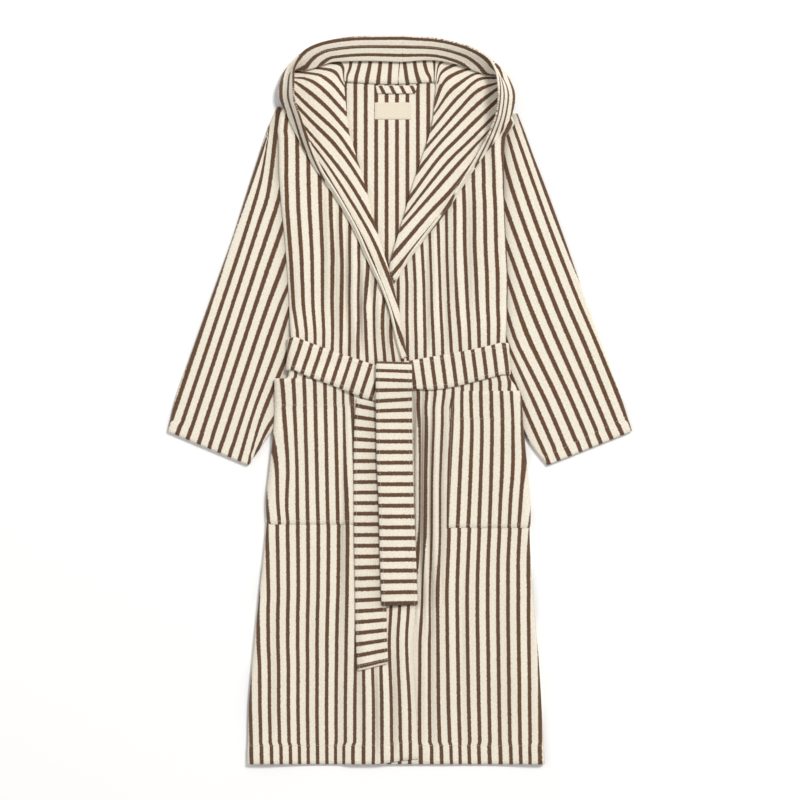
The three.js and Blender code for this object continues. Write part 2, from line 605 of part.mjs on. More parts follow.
// The belt. Its two arms run from the knot out to the sides, turn down round them and
// under the body, where they meet the stretch behind the back.
const FOLD_ROOM = 1.2; // height kept for the gathers under the belt
const LAP_STEP = { before: 10, over: 8 }; // where the belt steps off the left front
function frontsTop(x, y) {
  const onLeft = ease((leftOpening(y) + LAP_STEP.before - x) / LAP_STEP.over);
  return mix(rightHeight(x, y), leftHeight(x, y), onLeft) + CLOTH / 2;
}
const UNDER_BELT = { line: 353, from: 364, to: 378, width: 8 }; // the left pocket's top
function beltBed(x, y) {
  const onPocket =
    ease((y - UNDER_BELT.from) / (UNDER_BELT.to - UNDER_BELT.from)) *
    ease((UNDER_BELT.line - x) / UNDER_BELT.width + 1);
  return frontsTop(x, y) + (CLOTH + PLY_GAP) * onPocket + FOLD_ROOM + BELT_CLOTH / 2;
}
const ARMS = {
  left: [
    { topX: 391, topY: 369, lowX: 385, lowY: 401 },
    { topX: 377, topY: 366.5, lowX: 369, lowY: 398.5 },
    { topX: 360, topY: 361, lowX: 351, lowY: 392 },
    { topX: 340, topY: 354.5, lowX: 331, lowY: 384 },
    { topX: 320, topY: 347.5, lowX: 312, lowY: 377 },
    { topX: 303, topY: 341, lowX: 299, lowY: 371.5 },
    { topX: 297, topY: 338.6, lowX: 295, lowY: 369.4 },
  ],
  right: [
    { topX: 396, topY: 364, lowX: 396, lowY: 388 },
    { topX: 411, topY: 361.5, lowX: 411, lowY: 388 },
    { topX: 430, topY: 358, lowX: 430, lowY: 389 },
    { topX: 450, topY: 354.5, lowX: 451, lowY: 386.5 },
    { topX: 470, topY: 351, lowX: 472, lowY: 381.5 },
    { topX: 490, topY: 346.5, lowX: 492, lowY: 376.5 },
    { topX: 500, topY: 344, lowX: 501, lowY: 374 },
  ],
};
const BEHIND = { left: 313, right: 480, top: 339, low: 371.5 };
const BELT_CLEAR = 0.8; // between the belt and the side of a front
const UNDER_HEIGHT = SLEEVE_HEIGHT + BELT_CLEAR + BELT_CLOTH / 2;
const TIGHT_TURN = BELT_CLOTH / 2 + 0.4; // the smallest radius that the belt's middle takes
const CORNER = 0.3; // how far a tight turn's middle point stands in from its corner
const TURN_ANGLES = [30, 55, 75]; // where the turn down round the side is read, in degrees
const UNDER = { from: 7, before: 3 }; // grid steps, from the turn and before the arms' ends
function armPath(hand, share) {
  const { inward } = FRONTS[hand];
  const rows = ARMS[hand];
  const points = [];
  for (const along of evenly(12)) {
    const row = readRow(rows, along);
    const x = mix(row.topX, row.lowX, share);
    const y = mix(row.topY, row.lowY, share);
    points.push(onPlan(x, y, beltBed(x, y)));
  }
  const end = rows[rows.length - 1];
  const y = mix(end.topY, end.lowY, share);
  const side = sideOf(y)[hand];
  const outside = side - inward * steps(CLOTH / 2 + BELT_CLEAR + BELT_CLOTH / 2);
  const top = points[points.length - 1].z;
  const turnFrom = UNDER_HEIGHT + TIGHT_TURN;
  const round = side + inward * foldWidth - outside;
  for (const angle of TURN_ANGLES) {
    const a = THREE.MathUtils.degToRad(angle);
    points.push(onPlan(outside + round * (1 - Math.sin(a)), y, mix(turnFrom, top, Math.cos(a))));
  }
  const tight = inward * steps(TIGHT_TURN);
  points.push(
    onPlan(outside, y, turnFrom),
    onPlan(outside + tight * CORNER, y, UNDER_HEIGHT + TIGHT_TURN * CORNER),
    onPlan(outside + tight, y, UNDER_HEIGHT),
  );
  const settled = BELT_CLOTH / 2 + SEAM_GAP;
  const meet = BEHIND[hand] - inward * steps(SEAM_GAP);
  const first = outside + inward * UNDER.from;
  const last = meet - inward * UNDER.before;
  for (const t of evenly(4))
    points.push(onPlan(mix(first, last, t), y, mix(UNDER_HEIGHT, settled, ease(t))));
  points.push(onPlan(meet, y, settled));
  return new THREE.CatmullRomCurve3(points, false, "centripetal");
}
for (const hand of ["left", "right"]) {
  const paths = new Map();
  const pathAt = (share) => {
    if (!paths.has(share)) paths.set(share, armPath(hand, share));
    return paths.get(share);
  };
  const place = (u, v) => pathAt(1 - v).getPoint(hand === "left" ? 1 - u : u);
  addPiece(`belt_arm_${hand}`, clothWall(place, evenly(32), evenly(3), BELT_CLOTH));
}
const behindPlace = (u, v) =>
  onPlan(mix(BEHIND.left, BEHIND.right, u), mix(BEHIND.low, BEHIND.top, v), BELT_CLOTH / 2);
addPiece("belt_behind", clothWall(behindPlace, evenly(4), evenly(1), BELT_CLOTH));

// The belt's two ends. The front one comes up through the knot, folds over the top of the
// arms and hangs down over the back one. A row runs across the end, "over" is its height
// above the fronts at its left edge and "overRight" at its right one.
const ENDS = {
  front: [
    { leftX: 378.5, leftY: 366.5, rightX: 409.5, rightY: 367.5, over: 6.6, overRight: 6.6 },
    { leftX: 377.6, leftY: 362.6, rightX: 410.4, rightY: 363.6, over: 9.2, overRight: 9.2 },
    { leftX: 377, leftY: 366.5, rightX: 411, rightY: 367.5, over: 11.8, overRight: 11.8 },
    { leftX: 376.8, leftY: 380, rightX: 411, rightY: 381, over: 11.6, overRight: 11.4 },
    { leftX: 376.8, leftY: 400, rightX: 411, rightY: 398, over: 10.8, overRight: 8.6 },
    { leftX: 377, leftY: 424, rightX: 411.2, rightY: 424, over: 8.6, overRight: 4 },
    { leftX: 377.6, leftY: 460, rightX: 411.6, rightY: 460, over: 8, overRight: 2.4 },
    { leftX: 379.4, leftY: 500, rightX: 412.8, rightY: 500, over: 7, overRight: 1.6 },
    { leftX: 380.6, leftY: 550, rightX: 414.8, rightY: 550, over: 6.6, overRight: 1.4 },
    { leftX: 382.4, leftY: 604, rightX: 416.8, rightY: 603.5, over: 6.4, overRight: 1.4 },
  ],
  back: [
    { leftX: 357.4, leftY: 399, rightX: 387.4, rightY: 406, over: 1, overRight: 1 },
    { leftX: 355.6, leftY: 420, rightX: 386, rightY: 424, over: 0.8, overRight: 0.8 },
    { leftX: 354.6, leftY: 460, rightX: 385, rightY: 460, over: 0.7, overRight: 0.7 },
    { leftX: 354.8, leftY: 520, rightX: 385, rightY: 520, over: 0.7, overRight: 0.7 },
    { leftX: 355.8, leftY: 580, rightX: 385.4, rightY: 579, over: 0.7, overRight: 0.7 },
    { leftX: 356.6, leftY: 630, rightX: 385.8, rightY: 627, over: 0.7, overRight: 0.7 },
    { leftX: 358.2, leftY: 669.5, rightX: 387, rightY: 662.5, over: 0.7, overRight: 0.7 },
  ],
};
const DROP_ACROSS = { from: 0.28, width: 0.5 }; // where the front end comes off the back one
for (const [end, count] of [["front", 26], ["back", 16]]) {
  const place = (u, v) => {
    const row = readRow(ENDS[end], 1 - v);
    const x = mix(row.leftX, row.rightX, u);
    const y = mix(row.leftY, row.rightY, u);
    const over = mix(row.over, row.overRight, ease((u - DROP_ACROSS.from) / DROP_ACROSS.width));
    return onPlan(x, y, frontsTop(x, y) + over + BELT_CLOTH / 2);
  };
  addPiece(`belt_end_${end}`, clothWall(place, evenly(6), evenly(count), BELT_CLOTH));
}

// Inside the neck: the hanging loop along the seam, and the plain woven label.
const LOOP = { left: 376, right: 416.5, top: 86.2, low: 93.4, slant: 3.2, sag: 1.2 };
function loopPlace(u, v) {
  const x = mix(LOOP.left, LOOP.right, u) + (1 - v) * LOOP.slant * (0.5 - u);
  const up = CLOTH + PLY_GAP + LOOP_CLOTH / 2 + LOOP.sag * Math.sin(Math.PI * u);
  return onPlan(x, mix(LOOP.low, LOOP.top, v), up);
}
addPiece("hanging_loop", clothWall(loopPlace, evenly(8), evenly(1), LOOP_CLOTH));

const LABEL = { left: 374.8, right: 410.8, top: 102.8, low: 119.4 };
const labelPlace = (u, v) =>
  onPlan(
    mix(LABEL.left, LABEL.right, u),
    mix(LABEL.low, LABEL.top, v),
    CLOTH + SEAM_GAP + LABEL_CLOTH / 2,
  );
addPiece("label", clothWall(labelPlace, evenly(2), evenly(1), LABEL_CLOTH), labelCloth());

export default robe;
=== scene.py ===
# Hooded bathrobe in striped terry cloth, laid flat on its back with its belt tied.
#
# Every piece of the robe is a wall of terry over a middle surface. The surfaces are worked
# out from short tables of sections, read on a square grid laid over the garment with x to
# the right and y towards the hem, and from tables of the creases the cloth lies in. Each
# piece carries a UV map that counts its own stripes, so that the stripes follow the cloth.
# Heights and thicknesses are in millimetres until a mesh is made, which is in metres.

import math

import bmesh
import bpy
import numpy as np
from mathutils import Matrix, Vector, noise


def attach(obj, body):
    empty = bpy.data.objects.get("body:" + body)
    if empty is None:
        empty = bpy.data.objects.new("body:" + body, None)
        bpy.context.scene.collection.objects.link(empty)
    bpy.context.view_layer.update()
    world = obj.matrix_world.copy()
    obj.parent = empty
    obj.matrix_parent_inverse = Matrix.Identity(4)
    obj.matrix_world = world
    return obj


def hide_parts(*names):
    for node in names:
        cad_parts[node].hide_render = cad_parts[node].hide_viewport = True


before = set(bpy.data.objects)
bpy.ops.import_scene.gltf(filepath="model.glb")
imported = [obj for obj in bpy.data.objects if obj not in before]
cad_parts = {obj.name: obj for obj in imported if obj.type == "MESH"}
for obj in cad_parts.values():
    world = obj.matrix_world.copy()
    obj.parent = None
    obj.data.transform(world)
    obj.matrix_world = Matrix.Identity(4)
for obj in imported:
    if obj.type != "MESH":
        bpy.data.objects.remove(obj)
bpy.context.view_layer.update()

# Sizes, in millimetres
NAPE_TO_HEM = 1186
CLOTH = 2.6
SEAM_GAP = 0.3
PLY_GAP = 0.6
BELT_CLOTH = 4.6
LABEL_CLOTH = 0.8
LOOP_CLOTH = 2.2
FRONT_HEIGHT = 5.7
SLEEVE_HEIGHT = 8.4
SIDE_FOLD_WIDTH = 6.5
SLEEVE_SIDE_RISE = 8.6
HEM_SIDE_RISE = 4.6
LAP_RISE = 4.4
COLLAR_LAP_RISE = 9.2
BELT_RISE = 5.4
SEAM_HEIGHT = 6.2
SLEEVE_CLEAR = 0.5
HEM_DEPTH = 35
CUFF_DEPTH = 23
POCKET_HEM_DEPTH = 50
HEM_EXTRA = 1.5  # what a turned hem adds to the cloth's thickness

# The grid laid over the garment
NAPE_Y = 85
HEM_Y = 763
MM_PER_STEP = NAPE_TO_HEM / (HEM_Y - NAPE_Y)
MIDDLE_X = 399.74
MIDDLE_Y = 399.76
STRIPE_PITCH = 10.42  # grid steps from one brown stripe to the next

METRE = 0.001
TINY = 1e-9  # keeps a division from being by nothing


def on_plan(x, y, height):
    """Points in millimetres, from grid positions and heights."""
    x, y, height = np.broadcast_arrays(x, y, height)
    return np.stack(
        [(x - MIDDLE_X) * MM_PER_STEP, (MIDDLE_Y - y) * MM_PER_STEP, height], axis=-1
    )


def across_and_up(columns, rows):
    """Shares from 0 to 1 across a grid of points, and from its first row to its last."""
    return np.linspace(0, 1, columns)[None, :], np.linspace(0, 1, rows)[:, None]


def turned_round(*grids):
    """Grids with their columns in the other order."""
    return [grid[:, ::-1] for grid in grids]


def grid_place(points):
    """Grid positions of points that are in millimetres."""
    return points[..., 0] / MM_PER_STEP + MIDDLE_X, MIDDLE_Y - points[..., 1] / MM_PER_STEP


def steps(millimetres):
    """Grid steps from millimetres."""
    return millimetres / MM_PER_STEP


def inward_of(hand):
    """1 where x grows from that side of the robe to its middle, and -1 on the other side."""
    return 1 if hand == "left" else -1


def ease(t):
    """A share from 0 to 1 that starts and ends gently."""
    t = np.clip(t, 0, 1)
    return t * t * (3 - 2 * t)


def mix(a, b, t):
    return a + (b - a) * t


def plateau(value, low, high, fade):
    """1 between two values, easing to 0 on both sides of them."""
    return ease((value - low) / fade + 1) * ease((high - value) / fade + 1)


def curve_through(at, values, where):
    """A smooth curve through the values that doesn't overshoot them."""
    at = np.asarray(at, float)
    values = np.asarray(values, float)
    slopes = np.diff(values) / np.diff(at)
    tangents = np.empty_like(values)
    tangents[0] = slopes[0]
    tangents[-1] = slopes[-1]
    before = slopes[:-1]
    after = slopes[1:]
    turning = before * after <= 0
    total = np.where(turning, 1, before + after)
    tangents[1:-1] = np.where(turning, 0, 2 * before * after / total)
    where = np.clip(where, at[0], at[-1])
    i = np.clip(np.searchsorted(at, where, side="right") - 1, 0, len(at) - 2)
    width = at[i + 1] - at[i]
    t = (where - at[i]) / width
    a = values[i]
    b = values[i + 1]
    da = tangents[i] * width
    db = tangents[i + 1] * width
    return a + t * (da + t * (3 * (b - a) - 2 * da - db + t * (2 * (a - b) + da + db)))


class Table:
    """Rows of numbers with named columns, read by a smooth curve along the first one."""

    def __init__(self, columns, *rows):
        self.columns = columns.split()
        self.rows = np.array(rows, float)

    def read(self, where):
        at = self.rows[:, 0]
        return {
            name: curve_through(at, self.rows[:, k], where)
            for k, name in enumerate(self.columns)
        }

    def column(self, name, where):
        return curve_through(self.rows[:, 0], self.rows[:, self.columns.index(name)], where)


# The sides of the body, where the cloth folds round to the back
SIDES = Table(
    "y left right",
    (84, 300, 496), (103, 281, 508), (118, 279, 513.5), (128, 278.2, 509), (136, 279, 505),
    (165, 279.5, 503), (200, 281.5, 503.5), (240, 285.5, 505), (280, 288.5, 507),
    (320, 290.6, 506), (340, 291.6, 505), (368, 289.6, 506.4), (376, 289, 507),
    (385, 278.4, 514), (394, 277.5, 517.5), (430, 275.5, 521), (470, 271.5, 525.5),
    (510, 268.5, 528.5), (540, 266, 529), (600, 259.5, 533), (660, 253.5, 538),
    (710, 249.5, 541), (763, 248.5, 543.5),
)

# The open edge of each front
OPENINGS = {
    "left": Table(
        "y x",
        (86, 342), (108, 343), (130, 345.5), (150, 351), (180, 360.5), (220, 370.5),
        (250, 379.5), (280, 388.5), (310, 395.5), (340, 401.5), (366, 407), (400, 412),
        (500, 414), (600, 415.5), (645, 412.5), (700, 415), (763, 418),
    ),
    "right": Table(
        "y x",
        (86, 438.5), (112, 437), (128, 434.5), (142, 430.5), (160, 424.5), (190, 414.5),
        (220, 406), (250, 396.5), (285, 386), (330, 370), (380, 361), (500, 357),
        (763, 356),
    ),
}

# A line down each front that keeps to the inner edge of its pocket
POCKET_LINES = {
    "left": Table(
        "y x",
        (86, 306), (200, 324), (300, 342), (379, 349), (400, 352.5), (524, 354), (763, 352),
    ),
    "right": Table(
        "y x",
        (86, 474), (200, 462), (300, 456), (391, 454), (410, 450.5), (527, 447), (763, 449),
    ),
}

# How many stripes in each front lies at its side, its pocket's line and its open edge
FRONT_STRIPES = {
    "left": Table(
        "y side line open",
        (90, 0.1, 2.9, 6.3), (140, 0.17, 3.6, 6.9), (200, 0.34, 4.35, 8.4),
        (250, 0.5, 5.1, 10.25), (300, 0.5, 6.05, 12.0), (338, 0.1, 6.5, 13.1),
        (375, 0.05, 6.85, 13.5), (392, -0.95, 6.95, 13.6), (430, -0.95, 7.0, 13.8),
        (480, -1.7, 6.75, 13.8), (524, -2.1, 6.65, 13.8), (600, -3.0, 6.68, 13.8),
        (700, -4.15, 6.75, 13.65), (763, -4.5, 6.7, 13.85),
    ),
    "right": Table(
        "y side line open",
        (90, 13.6, 10.3, 6.6), (150, 13.2, 9.5, 5.1), (200, 13.05, 8.8, 3.3),
        (250, 13.0, 8.4, 1.05), (300, 13.0, 7.9, -1.0), (340, 12.9, 7.5, -2.5),
        (375, 13.05, 7.25, -3.3), (392, 14.0, 7.1, -3.5), (430, 14.0, 6.85, -3.6),
        (480, 14.3, 6.85, -3.6), (527, 15.0, 6.8, -3.5), (600, 15.5, 7.05, -3.1),
        (700, 16.2, 7.0, -2.4), (763, 16.4, 6.85, -2.2),
    ),
}

# The creases that the cloth lies in. Each is a soft ridge, or a trough where its height is
# negative, from one point to another. "half" is half its width in grid steps, "height" is
# in millimetres and "bend" is how far its middle strays sideways in grid steps.
CREASES = {
    "left": Table(
        "x0 y0 x1 y1 half height bend",
        (331, 185, 330, 345, 4.5, 3.0, 1.5), (343, 205, 343, 350, 3.4, 5.2, -2),
        (349.5, 215, 350, 350, 2.6, -1.6, -2), (355, 235, 357, 356, 3.4, 5.4, -2),
        (361.5, 250, 362, 357, 2.4, -1.8, -1.5), (367, 262, 369, 358, 3.4, 4.8, -1),
        (374, 285, 374.5, 360, 2.4, -2.2, 0), (379, 290, 382, 358, 3.4, 3.8, 1),
        (387, 312, 388, 362, 2.4, -2.0, 0), (324, 178, 322, 330, 3.4, -1.4, 1),
        (304, 200, 305, 345, 7, 2.4, -2.5), (295, 260, 297, 338, 3, -1.2, 0),
        (349, 396, 348.5, 640, 3.2, 4.2, -1), (342.5, 410, 341, 600, 3, -1.4, 1),
        (356, 520, 357, 700, 3.2, -1.6, 1), (310, 400, 300, 640, 10, 1.6, 5),
        (332, 540, 326, 763, 10, 2.4, -4), (362, 610, 368, 763, 5, 4.0, 2),
        (374.5, 640, 376, 763, 3, -1.8, 1), (383, 668, 386, 763, 5, 3.4, -1),
        (392, 650, 394, 763, 3.2, -1.8, 1), (402, 610, 405, 763, 6, 4.2, 1),
        (288, 540, 284, 763, 10, 2.2, 4), (274, 600, 270, 763, 4, -1.2, 2),
        (259, 600, 259, 763, 5, 1.8, 1),
    ),
    "right": Table(
        "x0 y0 x1 y1 half height bend",
        (416, 240, 419, 352, 4, 3.6, 1), (429, 226, 427.5, 356, 2.3, -1.8, 0.5),
        (436, 215, 437, 352, 4.6, 5.2, -1), (445.5, 208, 446.5, 352, 2.3, -1.8, 0.5),
        (455, 190, 458, 348, 5.4, 4.4, 2), (468, 180, 470, 340, 4, -1.4, 1),
        (482, 165, 480, 340, 8, 2.4, -2), (493, 122, 497, 185, 3.2, 4.6, 1),
        (499.5, 128, 500.5, 200, 2.4, -1.6, 0),
        (418.5, 384, 418.5, 625, 2.5, 10.5, -1.2),
        (428.5, 384, 428, 640, 2.5, 10, -2.5), (438.5, 384, 438, 610, 3.0, 8.5, -2.5),
        (446, 392, 445.5, 570, 2.6, -1.8, -1), (424, 600, 426, 763, 4.5, 4.2, 1),
        (432, 590, 434, 763, 3, -1.8, 0), (446, 540, 452, 763, 8, 3.0, 3),
        (466, 560, 468, 763, 4, -1.2, -2), (482, 545, 487, 763, 11, 2.2, -4),
        (512, 545, 516, 763, 9, 2.2, 3), (529, 560, 531, 763, 3.4, -1.0, 0),
    ),
}


CREASE_TAPER = 0.6  # how bluntly a crease fades at its ends
UNEVENNESS = 1.6  # brings the noise to about -1 to 1


def crease_height(creases, x, y):
    """The height that a table of creases adds at points x and y."""
    height = np.zeros(np.broadcast(x, y).shape)
    for x0, y0, x1, y1, half, top, bend in creases.rows:
        along = np.clip((y - y0) / (y1 - y0), 0, 1)
        middle = mix(x0, x1, along) + bend * np.sin(math.pi * along)
        away = (x - middle) / half
        fade = np.sin(math.pi * along) ** CREASE_TAPER
        height = height + top * fade * np.exp(-away * away)
    return height


def softness(x, y, scale, seed):
    """Slow unevenness between about -1 and 1, on grid positions."""
    x, y = np.broadcast_arrays(x, y)
    flat = [
        noise.noise(Vector((a / scale, b / scale, seed))) for a, b in zip(x.ravel(), y.ravel())
    ]
    return np.array(flat).reshape(x.shape) * UNEVENNESS


# Where the stripes lie on the pieces whose stripes run askew
HOOD_STRIPES = {
    "left": (
        (1, 285, 126, 320, 165, 340, 198, 370, 256, 395, 322),
        (2, 289, 116, 318, 152, 345, 192, 373, 240, 398, 304),
        (3, 282, 102, 314.6, 140, 335, 164, 352, 187, 372, 222),
        (4, 280, 88, 313, 123, 332.5, 142, 350, 164, 362, 183),
        (5, 284, 82, 305.7, 104.5, 323.6, 120.5, 338, 134, 354, 158),
        (6, 289, 78, 301, 86.6, 312, 94.6, 327, 108, 348, 132),
        (7, 290, 80, 301, 78.6, 310, 81, 320, 87.5, 345, 113),
        (8, 300, 73, 318, 75, 328, 81, 336, 88, 344, 98),
        (9, 308, 67, 320, 69, 328, 69.6, 336, 73, 343, 84),
        (10, 320, 61, 332.5, 63, 339.6, 64, 343.7, 69.6, 344.5, 84),
        (11, 353, 54, 352, 58, 350, 68, 346, 78, 345.5, 90),
        (12, 361, 55, 360, 62, 358, 70, 356, 78, 355, 90),
        (15, 391, 55, 390.5, 63, 390, 70, 389.5, 78, 389, 90),
    ),
    "right": (
        (1, 494, 128, 480, 153, 452, 190, 430, 213, 393, 257),
        (2, 490, 131, 478, 143, 452, 171, 427, 199.5, 398, 232),
        (3, 497, 114, 470, 141, 450, 160, 425, 190, 404, 218),
        (4, 500, 98, 475, 122, 457, 140, 440, 157, 411, 197),
        (5, 500, 87, 475, 107, 457, 125, 440, 143, 419, 170),
        (6, 500, 83, 478, 91, 460, 109, 445, 126, 426, 148),
        (7, 500, 79, 484, 78.5, 462, 94, 448, 109, 433, 128),
        (8, 490, 73, 477, 74, 460, 84, 449, 93, 436, 111),
        (9, 476, 68, 466, 70, 450, 77, 442, 85, 437, 100),
        (10, 466, 62, 455, 65, 441, 73, 438, 80, 436.5, 92),
        (11, 455, 57, 443, 61, 438, 66, 436.3, 76, 435.5, 90),
        (12, 433, 55, 434, 60, 435, 66, 434.5, 78, 434, 90),
        (13, 424, 55, 424.5, 63, 427, 72, 431, 79, 432, 90),
        (15, 404, 55, 404.5, 62, 405.5, 70, 406.5, 78, 408.5, 88),
    ),
}
SLEEVE_STRIPES = {
    "left": (
        (1, 262, 155, 249, 190, 230, 243, 202, 330, 168, 431),
        (2, 268.5, 129, 262, 174, 249.5, 220, 213.3, 330, 178, 436),
        (3, 274.5, 138, 268, 195, 260, 220, 225, 328, 187.5, 441),
        (5, 292, 195, 282, 228, 268, 268, 241, 350, 208, 451),
        (7, 300, 258, 288, 288, 281, 304, 248, 400, 229, 459),
        (9, 302, 300, 288, 352, 280, 372, 262, 416, 249, 464),
        (10, 290, 380, 278, 413, 269, 426, 259, 445, 251, 463),
    ),
    "right": (
        (1, 518, 116, 548, 200, 571, 259, 590, 305, 640, 425),
        (2, 511, 120, 550, 228, 578, 300, 595.5, 340, 631, 430),
        (4, 500, 141, 507, 172, 553, 300, 574, 350, 612, 440),
        (6, 504, 238, 527, 300, 548, 350, 571, 400, 592, 449),
        (8, 500, 290, 515, 340, 530, 370, 545, 400, 570, 458),
        (10, 505, 360, 513, 380, 519, 395, 534, 430, 549, 463),
    ),
}
POCKET_STRIPES = {
    "left": (
        (-1, 270, 380, 272, 420, 277, 470, 278, 500, 280, 525),
        (0, 282, 380, 285, 420, 288, 470, 286.5, 505, 288, 525),
        (1, 293, 380, 295, 420, 297, 470, 297.5, 500, 298, 525),
        (3, 314.5, 380, 315.5, 420, 316.7, 470, 317.3, 500, 318, 525),
        (5, 335, 380, 335.7, 420, 336.8, 470, 337.4, 500, 338, 525),
        (6, 343.5, 380, 345, 420, 346.5, 470, 347.5, 500, 348, 525),
        (7, 350.5, 380, 352.5, 420, 354, 470, 355, 500, 356, 525),
    ),
    "right": (
        (7, 453, 388, 452, 420, 450, 460, 448, 500, 447, 528),
        (9, 471, 388, 472, 430, 471, 460, 469.5, 500, 468, 528),
        (11, 491.5, 388, 492, 430, 491.5, 460, 490.5, 500, 489.5, 528),
        (13, 511, 388, 513, 430, 513, 460, 510.5, 500, 509, 528),
        (14, 519, 388, 521, 430, 523, 460, 520.5, 500, 518.5, 528),
        (15, 529, 388, 531, 430, 533, 460, 531, 500, 528.5, 528),
    ),
}

# The outer edges of the pockets, which stand out from the sides
POCKET_EDGES = {
    "left": Table(
        "y x", (379, 277), (400, 277), (430, 275.5), (470, 271.5), (505, 268.3), (524, 269)
    ),
    "right": Table(
        "y x", (391, 517), (400, 518.8), (430, 521.5), (476, 526), (510, 528.6), (528, 528.4)
    ),
}

# Heights of the layers over each other
WAIST_TOP = 334
WAIST_BOTTOM = 378
WAIST_FADE = 34
SIDE_REACH = 62
SLEEVE_END_FROM = 428
SLEEVE_END_TO = 456
LAP_CLIMB_BEFORE = 18.4  # how far outside the right front's edge the left one starts to climb
LAP_CLIMB_OVER = 16
LAP_START_Y = 215
LAP_START_FADE = 40
COLLAR_LAP = (262, 300, 34)  # from, to and fade
FOLD_WIDTH = steps(SIDE_FOLD_WIDTH)


def waist_rise(y):
    return BELT_RISE * plateau(y, WAIST_TOP, WAIST_BOTTOM, WAIST_FADE)


def off_sleeve(y):
    return ease((y - SLEEVE_END_FROM) / (SLEEVE_END_TO - SLEEVE_END_FROM))


def bed_height(x, y):
    """The height of a smooth front, before its creases."""
    inward = np.minimum(x - SIDES.column("left", y), SIDES.column("right", y) - x)
    rise = mix(SLEEVE_SIDE_RISE, HEM_SIDE_RISE, off_sleeve(y))
    return FRONT_HEIGHT + rise * (1 - ease(inward / SIDE_REACH)) + waist_rise(y)


def lap_rise(x, y):
    """How far the left front stands higher, where it lies on the right one."""
    rise = mix(LAP_RISE, COLLAR_LAP_RISE, plateau(y, *COLLAR_LAP))
    edge = OPENINGS["right"].column("x", y)
    climbed = ease((x - edge + LAP_CLIMB_BEFORE) / LAP_CLIMB_OVER)
    return rise * climbed * ease((y - LAP_START_Y) / LAP_START_FADE)


LOWEST_FRONT = 4.4  # no crease presses a front through the back
LOWEST_GIVE = 0.1  # the share of a deeper crease that is kept
SWELLS = Table(
    "height scale seed",
    (1.3, 62, 8.7), (0.5, 24, 3.1),
)


def front_height(hand, x, y):
    """The height of a front's middle surface."""
    height = bed_height(x, y) + crease_height(CREASES[hand], x, y)
    if hand == "left":
        height = height + lap_rise(x, y)
    for swell, scale, seed in SWELLS.rows:
        height = height + swell * softness(x, y, scale, seed)
    return np.maximum(height, LOWEST_FRONT + LOWEST_GIVE * (height - LOWEST_FRONT))


# Stripe charts
def unit(vectors):
    return vectors / np.maximum(np.linalg.norm(vectors, axis=-1, keepdims=True), TINY)


CHART_SPOTS = 5
LINE_BITS = 28
LINE_REACH = 160  # how far a stripe's line is carried on past its ends, in grid steps
NARROWEST_GAP = 1e-6


def line_through(spots):
    """A smooth line through a few spots, carried on straight past both ends."""
    gaps = np.linalg.norm(np.diff(spots, axis=0), axis=1)
    at = np.concatenate([[0], np.cumsum(gaps)])
    where = np.linspace(0, at[-1], LINE_BITS)
    line = np.stack([curve_through(at, spots[:, k], where) for k in range(2)], axis=1)
    first = line[0] + unit(line[0] - line[1]) * LINE_REACH
    last = line[-1] + unit(line[-1] - line[-2]) * LINE_REACH
    return np.concatenate([[first], line, [last]])


def side_of_line(line, x, y):
    """Distance of each point from a line, positive on the line's right-hand side."""
    spots = np.stack([x.ravel(), y.ravel()], axis=1)
    a = line[:-1]
    along = line[1:] - a
    to_spot = spots[:, None] - a
    share = (to_spot * along).sum(-1) / (along * along).sum(-1)
    off = to_spot - np.clip(share, 0, 1)[..., None] * along
    away = np.linalg.norm(off, axis=-1)
    nearest = away.argmin(axis=1)
    pick = np.arange(len(spots))
    ahead = along[nearest]
    to_nearest = to_spot[pick, nearest]
    cross = ahead[:, 0] * to_nearest[:, 1] - ahead[:, 1] * to_nearest[:, 0]
    return (np.sign(cross) * away[pick, nearest]).reshape(x.shape)


class StripeChart:
    """Stripes drawn on the grid, each with its number and five spots that it runs through."""

    def __init__(self, *rows):
        rows = np.array(rows, float)
        self.numbers = rows[:, 0]
        self.lines = [line_through(row[1:].reshape(CHART_SPOTS, 2)) for row in rows]
        middle = self.lines[1][LINE_BITS // 2]
        ahead = side_of_line(self.lines[0], middle[0:1], middle[1:2])
        self.turned = float(np.sign(ahead[0]))

    def count(self, x, y):
        """How many stripes lie up to each point, whole numbers being the stripes' middles."""
        x, y = np.broadcast_arrays(np.asarray(x, float), np.asarray(y, float))
        sides = [side_of_line(line, x, y) * self.turned for line in self.lines]
        made = self.numbers[0] + sides[0] / STRIPE_PITCH
        for k in range(len(sides) - 1):
            gap = np.maximum(sides[k] - sides[k + 1], NARROWEST_GAP)
            between = self.numbers[k] + (self.numbers[k + 1] - self.numbers[k]) * sides[k] / gap
            made = np.where((sides[k] >= 0) & (sides[k + 1] < 0), between, made)
        past = self.numbers[-1] + sides[-1] / STRIPE_PITCH
        return np.where(sides[-1] >= 0, past, made)


# Walls of cloth
EDGE_ROUND = 0.8  # how far an edge stands out, in half thicknesses
WELD = 1e-7


def grid_normals(points, ring):
    """The upward directions of a grid of points."""
    if ring:
        along_u = np.roll(points, -1, axis=1) - np.roll(points, 1, axis=1)
    else:
        along_u = np.gradient(points, axis=1)
    along_v = np.gradient(points, axis=0)
    return unit(np.cross(along_u, along_v))


PITCH_LENGTH = STRIPE_PITCH * MM_PER_STEP  # in millimetres


def lengths_along(points, axis):
    """Length of cloth from the first row or column, in stripe pitches."""
    step = np.linalg.norm(np.diff(points, axis=axis), axis=-1)
    total = np.cumsum(step, axis=axis)
    start = np.zeros_like(np.take(total, [0], axis=axis))
    return np.concatenate([start, total], axis=axis) / PITCH_LENGTH


def new_object(name, data):
    """An object of the scene, at the origin."""
    made = bpy.data.objects.new(name, data)
    bpy.context.scene.collection.objects.link(made)
    return made


